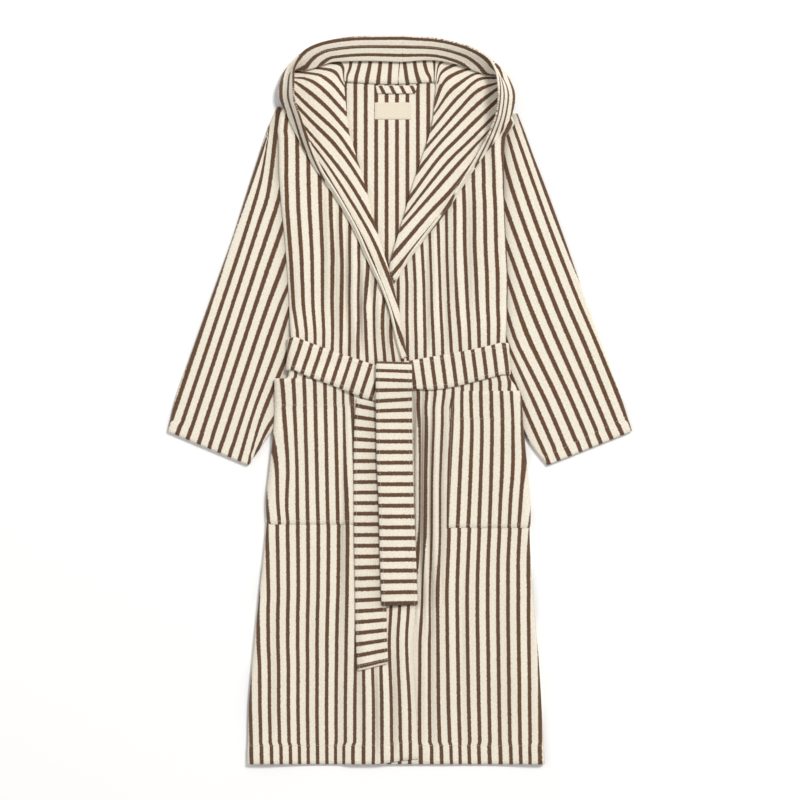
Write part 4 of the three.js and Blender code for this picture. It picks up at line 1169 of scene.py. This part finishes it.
# Hood and collar
HOOD_PLACES = "row seam_x seam_y out_x out_y crease_x crease_y rim_x rim_y"
HOOD_PLAN = {
    "left": Table(
        HOOD_PLACES,
        (0, 405.4, 356.4, 402.4, 358.4, 402.4, 358.4, 402.8, 358.2),
        (1, 402.6, 338, 397.5, 342, 397.5, 342, 398, 341.6),
        (2, 396.2, 310, 390.5, 314, 390.5, 314, 391.4, 313.4),
        (3, 389.2, 280, 380.5, 287, 380.5, 287, 382, 286),
        (4, 380.2, 250, 367, 258, 367, 258, 369, 257),
        (5, 371, 220, 354.5, 230, 354.5, 230, 356.6, 229),
        (6, 361, 180, 334.5, 195, 334.5, 195, 336.8, 194),
        (7, 352.5, 153, 318.5, 172, 318.5, 172, 322, 170.5),
        (8, 346.2, 130, 304, 148.5, 304, 148.5, 311.5, 147.5),
        (9, 343.8, 110, 289, 118, 289, 118, 300.8, 119),
        (10, 343.2, 94, 279.5, 94, 279.5, 94, 294.2, 96),
        (11, 345.5, 81.6, 283, 76, 286, 77, 294.2, 75.5),
        (12, 354, 81.2, 301, 54, 311, 70.5, 302.5, 55),
        (13, 365, 81.2, 326, 43.2, 336, 61.5, 326, 43.2),
        (14, 381, 81.2, 362, 38, 368, 60.8, 362, 38),
        (15, 397.6, 81.2, 402.9, 37.2, 401.4, 61.8, 402.9, 37.2),
    ),
    "right": Table(
        HOOD_PLACES,
        (0, 391.6, 272, 395, 282, 395, 282, 394.6, 281.4),
        (1, 397, 254, 408, 260.5, 408, 260.5, 406.5, 259.5),
        (2, 404.8, 226, 426, 236.5, 426, 236.5, 424.2, 235.5),
        (3, 412.5, 196, 447.5, 209, 447.5, 209, 445.6, 208),
        (4, 421.5, 168, 465.5, 181, 465.5, 181, 463, 180),
        (5, 429.5, 144, 483, 156, 483, 156, 478.5, 154),
        (6, 434.5, 126, 498.5, 136, 498.5, 136, 489.5, 133),
        (7, 436.5, 109, 511.5, 114, 511.5, 114, 496, 114),
        (8, 436.8, 93, 514.5, 98, 514.5, 98, 498, 96),
        (9, 434, 81.6, 509, 80.5, 505, 82, 497, 80),
        (10, 428, 81.2, 493.5, 62, 484, 75.5, 491, 62.5),
        (11, 422, 81.2, 468, 47.8, 458, 64.5, 467.5, 48),
        (12, 412, 81.2, 436, 40, 430, 60, 436, 40),
        (13, 397.95, 81.2, 403.25, 37.2, 401.75, 61.8, 403.25, 37.2),
    ),
}
HOOD_FORMS = "row rim_up roll tuck neck out_n foot_n rim_n"
HOOD_FORM = {
    "left": Table(
        HOOD_FORMS,
        (0, 3.2, 0.4, 0, 0, 0.9, 0.9, 0.8), (1, 3.4, 0.6, 0, 0, 1.0, 1.0, 0.8),
        (2, 3.8, 1, 0, 0, 1.05, 1.05, 0.8), (3, 4.4, 1, 0, 0, 1.05, 1.05, 0.8),
        (4, 5, 1, 0, 0, 1.1, 1.1, 0.8), (5, 5.6, 1, 0, 0, 1.1, 1.1, 0.8),
        (6, 6.6, 1, 0, 0, 0.62, 1.15, 0.5), (7, 9, 1, 0, 0, 1.35, 1.3, 0.55),
        (8, 15, 1, 0, 0, 2.1, 1.75, 0.75), (9, 26, 1, 0, 0, 2.8, 2.4, 1.15),
        (10, 34, 0.7, 0, 0.1, 3.25, 3.0, 1.18), (11, 38, 0, 0.12, 0.9, 3.0, 1.9, 1.1),
        (12, 36, 0, 0.85, 1, 2.6, 2.4, 1.0), (13, 29, 0, 1, 1, 8.6, 3.6, 0.9),
        (14, 24, 0, 1, 1, 12.2, 3.75, 0.8), (15, 23, 0, 1, 1, 15.9, 3.75, 0.75),
    ),
    "right": Table(
        HOOD_FORMS,
        (0, 1.6, 0.5, 0, 0, 0.9, 0.9, 0.8), (1, 3.4, 0.8, 0, 0, 1.0, 1.0, 0.8),
        (2, 4.4, 1, 0, 0, 1.15, 1.15, 0.8), (3, 5.4, 1, 0, 0, 1.2, 1.2, 0.8),
        (4, 7, 1, 0, 0, 0.6, 1.3, 0.5), (5, 12, 1, 0, 0, 1.6, 1.8, 0.6),
        (6, 23, 1, 0, 0, 2.8, 2.2, 0.8), (7, 36, 1, 0, 0, 4.1, 3.0, 0.8),
        (8, 44, 0.7, 0, 0.1, 4.25, 3.4, 0.8), (9, 46, 0, 0.12, 0.9, 4.0, 1.7, 0.7),
        (10, 42, 0, 0.85, 1, 3.0, 2.0, 0.75), (11, 33, 0, 1, 1, 8.5, 3.3, 0.8),
        (12, 26, 0, 1, 1, 12.0, 3.6, 0.8), (13, 23, 0, 1, 1, 15.9, 3.75, 0.75),
    ),
}
RIM_DEPTH = 20
ROLL_REACH = 2.6  # grid steps by which the collar rolls out past its seam
COLLAR_GAP = 2.2  # millimetres between the front's ply and the collar's
TUCK_LAYER = CLOTH + 3  # between the middles of the plies tucked in under the wall
FLOOR_CLEAR = 1.2  # between the surface and the hood beyond the shoulders
SHOULDER_FROM = 64  # where the hood's floor climbs on the body
SHOULDER_TO = 91
RIM_EXTRA = 1.2
NECK_LIFT = 0.5  # how far the neck seam stands above the back's middle
ROLL_UP = 0.45  # how far up to the floor the collar's roll stands out most
SEAM_BEND = 3  # grid steps from the seam to where the floor starts
FOLD_BEND = 2.2  # and from the outer fold to where it ends
MOST_SEAM_BEND = 0.12  # both at most these shares of the floor
MOST_FOLD_BEND = 0.4
LEAST_WALL = 2
FOLD_UP = 0.2  # how far an open outer fold stands above the floor
OUT_FOLD_AT = 0.5  # where along a section its outer fold lies
FOLD_STARTS_AT = 0.4
LAPEL_WALL_STRIPES = 0.15  # from the outer fold to the rim, where the collar lies flat
WALL_FROM_ROW = {"left": 5.6, "right": 3.6}  # the wall stands up from these rows on
WALL_ROW_FADE = 1.4
FLIPPED_FROM = 0.8  # tuck from which the outer fold is hidden behind the wall
WALL_BULGE = 1.35
WALL_FOOT_AT = 0.8  # where the wall's foot lies on the sections that are tucked
WALL_SPOTS = (0.3, 0.5, 0.62, 0.8)  # how far up the wall its control points lie
TUCKED_SPOTS = (0.3, 0.85)  # where they lie on the tucked ply instead
WALL_LOW_SPOT = 0.25  # and where the last one then lies on the wall
HOOD_STEPS = 190
HOOD_POSITIONS = np.linspace(0, 1, 101)  # of a section's points, from its seam to its rim
LAST_SLANTING_STRIPE = 9
NECK_FROM_ROW = {"left": 10.6, "right": 8.6}


def collar_bed(hand, x, y):
    on_body = ease((y - SHOULDER_FROM) / (SHOULDER_TO - SHOULDER_FROM))
    body = front_height(hand, x, np.maximum(y, TOPS[hand])) + CLOTH + COLLAR_GAP
    return mix(CLOTH / 2 + FLOOR_CLEAR, body, on_body)


def hood_controls(hand, row):
    """Control points of a hood section, from its seam to its rim, one row of the grid each."""
    at = HOOD_PLAN[hand].read(row)
    form = HOOD_FORM[hand].read(row)
    inward = inward_of(hand)
    tuck, neck, roll = form["tuck"], form["neck"], form["roll"]
    seam_y = at["seam_y"] + neck * neck_dip(at["seam_x"])
    seam_x = mix(OPENINGS[hand].column("x", seam_y), at["seam_x"], neck)
    floor_up = collar_bed(hand, seam_x, seam_y)
    seam_up = mix(floor_up - CLOTH - COLLAR_GAP, CLOTH / 2 + NECK_LIFT, neck)
    base = collar_bed(hand, at["out_x"], at["out_y"])
    length = np.hypot(at["out_x"] - seam_x, at["out_y"] - seam_y)
    foot_up = base + 2 * TUCK_LAYER * tuck
    top_up = np.maximum(base + form["rim_up"], foot_up + LEAST_WALL)

    def floor(t):
        x = mix(seam_x, at["out_x"], t)
        y = mix(seam_y, at["out_y"], t)
        return on_plan(x, y, collar_bed(hand, x, y))

    def wall(t, drop=0):
        x = mix(at["crease_x"], at["rim_x"], t)
        y = mix(at["crease_y"], at["rim_y"], t)
        return on_plan(x, y, mix(foot_up, top_up, t**WALL_BULGE) - drop)

    def tucked(t):
        x = mix(at["out_x"], at["crease_x"], t)
        y = mix(at["out_y"], at["crease_y"], t)
        return on_plan(x, y, base + TUCK_LAYER)

    near_seam = np.minimum(MOST_SEAM_BEND, SEAM_BEND / length)
    near_out = 1 - np.minimum(MOST_FOLD_BEND, FOLD_BEND / length)
    sewn_x = seam_x + inward * steps(CLOTH / 2 + SEAM_GAP) * (1 - neck)
    roll_x = seam_x + inward * ROLL_REACH * roll
    fold_up = base + mix(FOLD_UP, TUCK_LAYER / 2, tuck)
    upright = [wall(t) for t in WALL_SPOTS]
    folded = [tucked(t) for t in TUCKED_SPOTS] + [wall(0, TUCK_LAYER / 2), wall(WALL_LOW_SPOT)]
    places = [
        on_plan(sewn_x, seam_y, seam_up),
        on_plan(roll_x, seam_y, mix(seam_up, floor_up, ROLL_UP)),
        floor(near_seam),
        floor(0.5),
        floor(near_out),
        on_plan(at["out_x"], at["out_y"], fold_up),
        *(mix(plain, other, tuck[..., None]) for plain, other in zip(upright, folded)),
        wall(1),
    ]
    return np.stack(places, axis=1)


LEAST_SPAN = 1e-3


def through_controls(values, positions):
    """Smooth curves through rows of control points, each read at the same positions."""
    spans = np.linalg.norm(np.diff(values, axis=1), axis=-1) ** 0.5
    from_first = np.cumsum(np.maximum(spans, LEAST_SPAN), axis=1)
    knots = np.concatenate([np.zeros((len(values), 1)), from_first], axis=1)
    last = values.shape[1] - 1
    made = []
    for position in positions:
        scaled = position * last
        k = min(int(scaled), last - 1)
        t = scaled - k
        k0, k3 = max(k - 1, 0), min(k + 2, last)
        p0, p1, p2, p3 = values[:, k0], values[:, k], values[:, k + 1], values[:, k3]
        if k == 0:
            p0 = 2 * p1 - p2
        if k + 2 > last:
            p3 = 2 * p2 - p1
        t1, t2 = knots[:, k], knots[:, k + 1]
        t0 = knots[:, k0] if k > 0 else 2 * t1 - t2
        t3 = knots[:, k3] if k + 2 <= last else 2 * t2 - t1
        t0, t1, t2, t3 = (q[:, None] for q in (t0, t1, t2, t3))
        m1 = (t2 - t1) * ((p1 - p0) / (t1 - t0) - (p2 - p0) / (t2 - t0) + (p2 - p1) / (t2 - t1))
        m2 = (t2 - t1) * ((p2 - p1) / (t2 - t1) - (p3 - p1) / (t3 - t1) + (p3 - p2) / (t3 - t2))
        h1 = 2 * t**3 - 3 * t**2 + 1
        h2 = -2 * t**3 + 3 * t**2
        h3 = t**3 - 2 * t**2 + t
        h4 = t**3 - t**2
        made.append(h1 * p1 + h2 * p2 + h3 * m1 + h4 * m2)
    return np.stack(made, axis=1)


def hood_stripes(hand, row, points):
    """Stripes of a hood half: as drawn inside it, then round the outer fold to the rim."""
    rows = HOOD_STRIPES[hand]
    slanting = [line for line in rows if line[0] <= LAST_SLANTING_STRIPE]
    x, y = grid_place(points)
    at_neck = (row > NECK_FROM_ROW[hand])[:, None]
    drawn = np.where(at_neck, StripeChart(*rows).count(x, y), StripeChart(*slanting).count(x, y))
    out_at = int(np.argmin(np.abs(HOOD_POSITIONS - OUT_FOLD_AT)))
    foot_at = int(np.argmin(np.abs(HOOD_POSITIONS - WALL_FOOT_AT)))
    form = HOOD_FORM[hand].read(row)
    foot = form["foot_n"][:, None]
    tuck = form["tuck"][:, None]
    raised = ease((row - WALL_FROM_ROW[hand]) / WALL_ROW_FADE)[:, None]
    plain_fold = 1 - ease((tuck - FLIPPED_FROM) / (1 - FLIPPED_FROM))
    out = mix(drawn[:, out_at : out_at + 1], form["out_n"][:, None], raised * plain_fold)
    towards = ease((HOOD_POSITIONS - FOLD_STARTS_AT) / (OUT_FOLD_AT - FOLD_STARTS_AT))
    drawn = mix(drawn, out, towards)
    rim = mix(out - LAPEL_WALL_STRIPES, form["rim_n"][:, None], raised)
    run = lengths_along(points, 1)

    def share(start, end):
        whole = run[:, end : end + 1] - run[:, start : start + 1]
        return np.clip((run - run[:, start : start + 1]) / whole, 0, 1)

    end = len(HOOD_POSITIONS) - 1
    plain = mix(out, rim, share(out_at, end))
    tucked = mix(mix(out, foot, share(out_at, foot_at)), rim, share(foot_at, end))
    return np.where(HOOD_POSITIONS <= OUT_FOLD_AT, drawn, mix(plain, tucked, tuck))


def make_hood(hand):
    row = np.linspace(0, len(HOOD_PLAN[hand].rows) - 1, HOOD_STEPS)
    points = through_controls(hood_controls(hand, row), HOOD_POSITIONS)
    stripes = hood_stripes(hand, row, points)
    if hand == "left":
        points, stripes = turned_round(points, stripes)
    run = lengths_along(points, 1) * PITCH_LENGTH
    from_rim = run if hand == "left" else run[:, -1:] - run
    thickness = CLOTH + hem_rib(from_rim, RIM_DEPTH, RIM_EXTRA)
    piece = cloth_wall(f"{hand}_hood", points, stripes, thickness, TERRY)
    face = upper_face(points, thickness)
    order = inward_of(hand)
    depth = RIM_DEPTH - STITCHED_IN
    rim = [
        [np.interp(depth, at[::order], line[::order, k]) for k in range(3)]
        for at, line in zip(from_rim, face)
    ]
    sewn = [stitches_along(f"{hand}_hood_stitches", [np.array(rim)])]
    lay(piece, points, f"hood_{hand}", sewn=sewn)


# Belt
FOLD_ROOM = 1.2
LAP_STEP_BEFORE = 10
LAP_STEP_OVER = 8
BELT_PITCH = 10.5
POCKET_STEP_Y = 364  # the belt climbs on the left pocket below this and left of the next
POCKET_STEP_X = 361
POCKET_STEP_DOWN = 14
POCKET_STEP_ACROSS = 8


def fronts_top(x, y):
    """The height of the upper front's outer side."""
    on_left = ease((OPENINGS["left"].column("x", y) + LAP_STEP_BEFORE - x) / LAP_STEP_OVER)
    return mix(front_height("right", x, y), front_height("left", x, y), on_left) + CLOTH / 2


def belt_bed(x, y):
    """The height of the belt's middle where it lies on the fronts."""
    on_pocket = ease((y - POCKET_STEP_Y) / POCKET_STEP_DOWN)
    on_pocket = on_pocket * ease((POCKET_STEP_X - x) / POCKET_STEP_ACROSS)
    return fronts_top(x, y) + (CLOTH + PLY_GAP) * on_pocket + FOLD_ROOM + BELT_CLOTH / 2


ARMS = {
    "left": Table(
        "row top_x top_y low_x low_y",
        (0, 391, 369, 385, 401), (1, 377, 366.5, 369, 398.5), (2, 360, 361, 351, 392),
        (3, 340, 354.5, 331, 384), (4, 320, 347.5, 312, 377), (5, 303, 341, 299, 371.5),
        (6, 297, 338.6, 295, 369.4),
    ),
    "right": Table(
        "row top_x top_y low_x low_y",
        (0, 396, 364, 396, 388), (1, 411, 361.5, 411, 388), (2, 430, 358, 430, 389),
        (3, 450, 354.5, 451, 386.5), (4, 470, 351, 472, 381.5), (5, 490, 346.5, 492, 376.5),
        (6, 500, 344, 501, 374),
    ),
}
BEHIND_ENDS = {"left": 313, "right": 480}
ARM_STRIPES = {"left": (361, 351), "right": (421, 425)}  # where one stripe crosses, at both edges
ARM_SHOWS = 8.5  # stripes of an arm that lie across the front
BELT_CLEAR = 0.8
UNDER_HEIGHT = SLEEVE_HEIGHT + BELT_CLEAR + BELT_CLOTH / 2
TIGHT_TURN = BELT_CLOTH / 2 + 0.4  # the smallest radius that the belt's middle takes
CORNER = 0.3  # how far in from its corner a tight turn's middle point stands, as a share
TURN_ANGLES = np.radians([30, 55, 75])  # where the turn down round the side is read
UNDER_FROM = 7  # grid steps from the turn to where the belt runs under the back
UNDER_BEFORE = 3  # and from there to the arm's end
ARM_ROWS = 12
ARM_COLUMNS = 140


def arm_controls(hand, share):
    """Control points along an arm of the belt, at a share of its width."""
    inward = inward_of(hand)
    rows = len(ARMS[hand].rows)
    at = ARMS[hand].read(np.linspace(0, rows - 1, 2 * rows - 1))
    x = mix(at["top_x"], at["low_x"], share)
    y = mix(at["top_y"], at["low_y"], share)
    end_y = y[-1]
    side = float(SIDES.column(hand, end_y))
    outside = side - inward * steps(CLOTH / 2 + BELT_CLEAR + BELT_CLOTH / 2)
    top = float(belt_bed(x[-1], end_y))
    turn_from = UNDER_HEIGHT + TIGHT_TURN
    reach = side + inward * FOLD_WIDTH - outside
    turn_x = outside + reach * (1 - np.sin(TURN_ANGLES))
    tight = inward * steps(TIGHT_TURN)
    corner_x = np.array([outside, outside + tight * CORNER, outside + tight])
    corner_up = np.array([turn_from, UNDER_HEIGHT + TIGHT_TURN * CORNER, UNDER_HEIGHT])
    settled = BELT_CLOTH / 2 + SEAM_GAP
    meet = BEHIND_ENDS[hand] - inward * steps(SEAM_GAP)
    t = np.linspace(0, 1, 5)
    under_x = mix(outside + inward * UNDER_FROM, meet - inward * UNDER_BEFORE, t)
    stretches = [
        on_plan(x, y, belt_bed(x, y)),
        on_plan(turn_x, end_y, mix(turn_from, top, np.cos(TURN_ANGLES))),
        on_plan(corner_x, end_y, corner_up),
        on_plan(under_x, end_y, mix(UNDER_HEIGHT, settled, ease(t))),
        on_plan(np.array([meet]), end_y, settled),
    ]
    return np.concatenate(stretches)


def make_arm(hand):
    places = np.stack([arm_controls(hand, share) for share in np.linspace(1, 0, ARM_ROWS)])
    points = through_controls(places, np.linspace(0, 1, ARM_COLUMNS))
    if hand == "left":
        (points,) = turned_round(points)
    run = lengths_along(points, 1)
    run = run[:, -1:] - run if hand == "left" else run
    first_top, first_low = ARM_STRIPES[hand]
    x, _ = grid_place(points)
    stripes = []
    for k, first in enumerate(np.linspace(first_low, first_top, len(points))):
        shown = run[k] < ARM_SHOWS
        order = np.argsort(x[k][shown])
        start = np.interp(first, x[k][shown][order], run[k][shown][order])
        stripes.append((run[k] - start) * STRIPE_PITCH / BELT_PITCH)
    stripes = np.array(stripes)
    piece = cloth_wall(f"{hand}_belt_arm", points, stripes, BELT_CLOTH, BELT_TERRY)
    face = upper_face(points, BELT_CLOTH)
    sewn = [stitches_along(f"{hand}_belt_stitches", [face[1], face[-2]])]
    lay(piece, points, f"belt_arm_{hand}", sewn=sewn)


BEHIND_TOP = 339
BEHIND_BOTTOM = 371.5


def make_belt_behind():
    u, v = across_and_up(30, 8)
    x = mix(BEHIND_ENDS["left"], BEHIND_ENDS["right"], u)
    points = on_plan(x, mix(BEHIND_BOTTOM, BEHIND_TOP, v), BELT_CLOTH / 2)
    piece = cloth_wall("belt_behind_back", points, x / BELT_PITCH, BELT_CLOTH, BELT_TERRY)
    lay(piece, points, "belt_behind")


BELT_ENDS = {
    "front": Table(
        "row left_x left_y right_x right_y over over_right",
        (0, 378.5, 366.5, 409.5, 367.5, 6.6, 6.6),
        (1, 377.6, 362.6, 410.4, 363.6, 9.2, 9.2),
        (2, 377, 366.5, 411, 367.5, 11.8, 11.8), (3, 376.8, 380, 411, 381, 11.6, 11.4),
        (4, 376.8, 400, 411, 398, 10.8, 8.6), (5, 377, 424, 411.2, 424, 8.6, 4),
        (6, 377.6, 460, 411.6, 460, 8, 2.4), (7, 379.4, 500, 412.8, 500, 7, 1.6),
        (8, 380.6, 550, 414.8, 550, 6.6, 1.4), (9, 382.4, 604, 416.8, 603.5, 6.4, 1.4),
    ),
    "back": Table(
        "row left_x left_y right_x right_y over over_right",
        (0, 357.4, 399, 387.4, 406, 1, 1), (1, 355.6, 420, 386, 424, 0.8, 0.8),
        (2, 354.6, 460, 385, 460, 0.7, 0.7), (3, 354.8, 520, 385, 520, 0.7, 0.7),
        (4, 355.8, 580, 385.4, 579, 0.7, 0.7), (5, 356.6, 630, 385.8, 627, 0.7, 0.7),
        (6, 358.2, 669.5, 387, 662.5, 0.7, 0.7),
    ),
}
DROP_FROM = 0.28  # where across an end it starts to sink to its right edge
DROP_WIDTH = 0.5
END_STRIPES = {
    "front": Table("y n", (361, -0.2), (363, 0), (371, 1), (431, 7), (484, 12), (603.7, 23.1)),
    "back": Table("y n", (400, -1.8), (419, 0), (524, 10), (610, 18), (666, 23.3)),
}


def make_end(end):
    table = BELT_ENDS[end]
    u, v = across_and_up(18, 120)
    at = table.read((len(table.rows) - 1) * (1 - v))
    x = mix(at["left_x"], at["right_x"], u)
    y = mix(at["left_y"], at["right_y"], u)
    over = mix(at["over"], at["over_right"], ease((u - DROP_FROM) / DROP_WIDTH))
    points = on_plan(x, y, fronts_top(x, y) + over + BELT_CLOTH / 2)
    stripes = END_STRIPES[end].column("n", (at["left_y"] + at["right_y"]) / 2)
    along = lengths_along(points, 1)
    # Painted shadow on the back end, beside the front end
    painted_shade = painted_shadow_beside_end(points) if end == "back" else 0
    piece = cloth_wall(
        f"{end}_belt_end", points, stripes, BELT_CLOTH, BELT_TERRY, along=along, painted_shade=painted_shade
    )
    face = upper_face(points, BELT_CLOTH)
    sewn = [stitches_along(f"{end}_end_stitches", [face[:, 1], face[:, -2], face[2]])]
    lay(piece, points, f"belt_end_{end}", sewn=sewn)


# Inside the neck
LOOP_ENDS = (376, 416.5)
LOOP_BOTTOM = 93.4
LOOP_TOP = 86.2
LOOP_SPREAD = 3.2  # how much shorter its lower edge is, in grid steps
LOOP_BULGE = 1.2
LOOP_FIRST_STRIPE = 384
LOOP_PITCH = 10.3
LOOP_SLANT = 0.35
LABEL_SIDES = (374.8, 410.8)
LABEL_BOTTOM = 119.4
LABEL_TOP = 102.8
LABEL_THREADS = 3.5
LABEL_STITCH = (2.0, 1.5, 0.35)  # gap, length and thickness


def make_loop():
    u, v = across_and_up(30, 8)
    x = mix(*LOOP_ENDS, u) + (1 - v) * LOOP_SPREAD * (0.5 - u)
    y = mix(LOOP_BOTTOM, LOOP_TOP, v)
    lift = PLY_GAP + LOOP_BULGE * np.sin(math.pi * u)
    points = on_plan(x, y, CLOTH + LOOP_CLOTH / 2 + lift)
    stripes = (x - LOOP_FIRST_STRIPE) / LOOP_PITCH + LOOP_SLANT * v
    piece = cloth_wall("neck_loop", points, stripes, LOOP_CLOTH, BELT_TERRY)
    lay(piece, points, "hanging_loop")


def make_label():
    u, v = across_and_up(20, 12)
    middle_height = CLOTH + SEAM_GAP + LABEL_CLOTH / 2
    points = on_plan(mix(*LABEL_SIDES, u), mix(LABEL_BOTTOM, LABEL_TOP, v), middle_height)
    piece = cloth_wall("neck_label", points, LABEL_THREADS * u, LABEL_CLOTH, LABEL_WEAVE)
    face = upper_face(points, LABEL_CLOTH)[1:-1, 1:-1]
    lines = [face[0], face[-1], face[:, 0], face[:, -1]]
    sewn = [stitches_along("label_stitches", lines, *LABEL_STITCH)]
    lay(piece, points, "label", sewn=sewn)


# Room
VIEW_WIDTH = 1.3994  # how much of the surface the picture shows, in metres
VIEW_MIDDLE = 400
LENS = 200
SENSOR = 36
FLOOR_HALF = 6
FLOOR_DROP = 0.0005
FLOOR_COLOUR = (0.93, 0.93, 0.93, 1)
DAYLIGHT = 0.5
LIGHTS = {
    # place, target, size, power and colour
    "key": ((3.9, 4.7, 8.4), (0, 0, 0), 2.2, 780, (1.0, 0.985, 0.96)),
    "fill": ((-5.2, 1.6, 4.6), (0, 0.1, 0), 3.0, 50, (1.0, 0.99, 0.97)),
}


def make_camera():
    data = bpy.data.cameras.new("camera")
    data.lens = LENS
    data.sensor_width = SENSOR
    data.clip_end = 50
    camera = new_object("camera", data)
    x = (VIEW_MIDDLE - MIDDLE_X) * MM_PER_STEP * METRE
    y = (MIDDLE_Y - VIEW_MIDDLE) * MM_PER_STEP * METRE
    camera.location = (x, y, VIEW_WIDTH * LENS / SENSOR)
    bpy.context.scene.camera = camera


def area_light(name, place, target, size, power, colour):
    data = bpy.data.lights.new(name, "AREA")
    data.shape = "SQUARE"
    data.size = size
    data.energy = power
    data.color = colour
    light = new_object(name, data)
    light.location = place
    towards = Vector(target) - Vector(place)
    light.rotation_euler = towards.to_track_quat("-Z", "Y").to_euler()


def make_room():
    mesh = bpy.data.meshes.new("floor")
    corners = [(-1, -1), (1, -1), (1, 1), (-1, 1)]
    spots = [(x * FLOOR_HALF, y * FLOOR_HALF, 0) for x, y in corners]
    mesh.from_pydata(spots, [], [(0, 1, 2, 3)])
    floor = new_object("floor", mesh)
    floor.location.z = -FLOOR_DROP
    material, nodes = new_material("pale floor")
    nodes.shade(Base_Color=FLOOR_COLOUR, Roughness=0.9, Specular_IOR_Level=0.0)
    mesh.materials.append(material)
    world = bpy.data.worlds.new("studio")
    world.use_nodes = True
    sky = world.node_tree.nodes["Background"]
    Nodes(world.node_tree).feed(sky, {"Color": (1, 1, 1, 1), "Strength": DAYLIGHT})
    bpy.context.scene.world = world
    bpy.context.scene.view_settings.view_transform = "Standard"
    for name, light in LIGHTS.items():
        area_light(name, *light)


make_camera()
make_room()
make_back()
for side_name in ("left", "right"):
    make_sleeve(side_name)
    make_front(side_name)
    make_pocket(side_name)
    make_hood(side_name)
    make_arm(side_name)
make_belt_behind()
for end_name in ("back", "front"):
    make_end(end_name)
make_loop()
make_label()
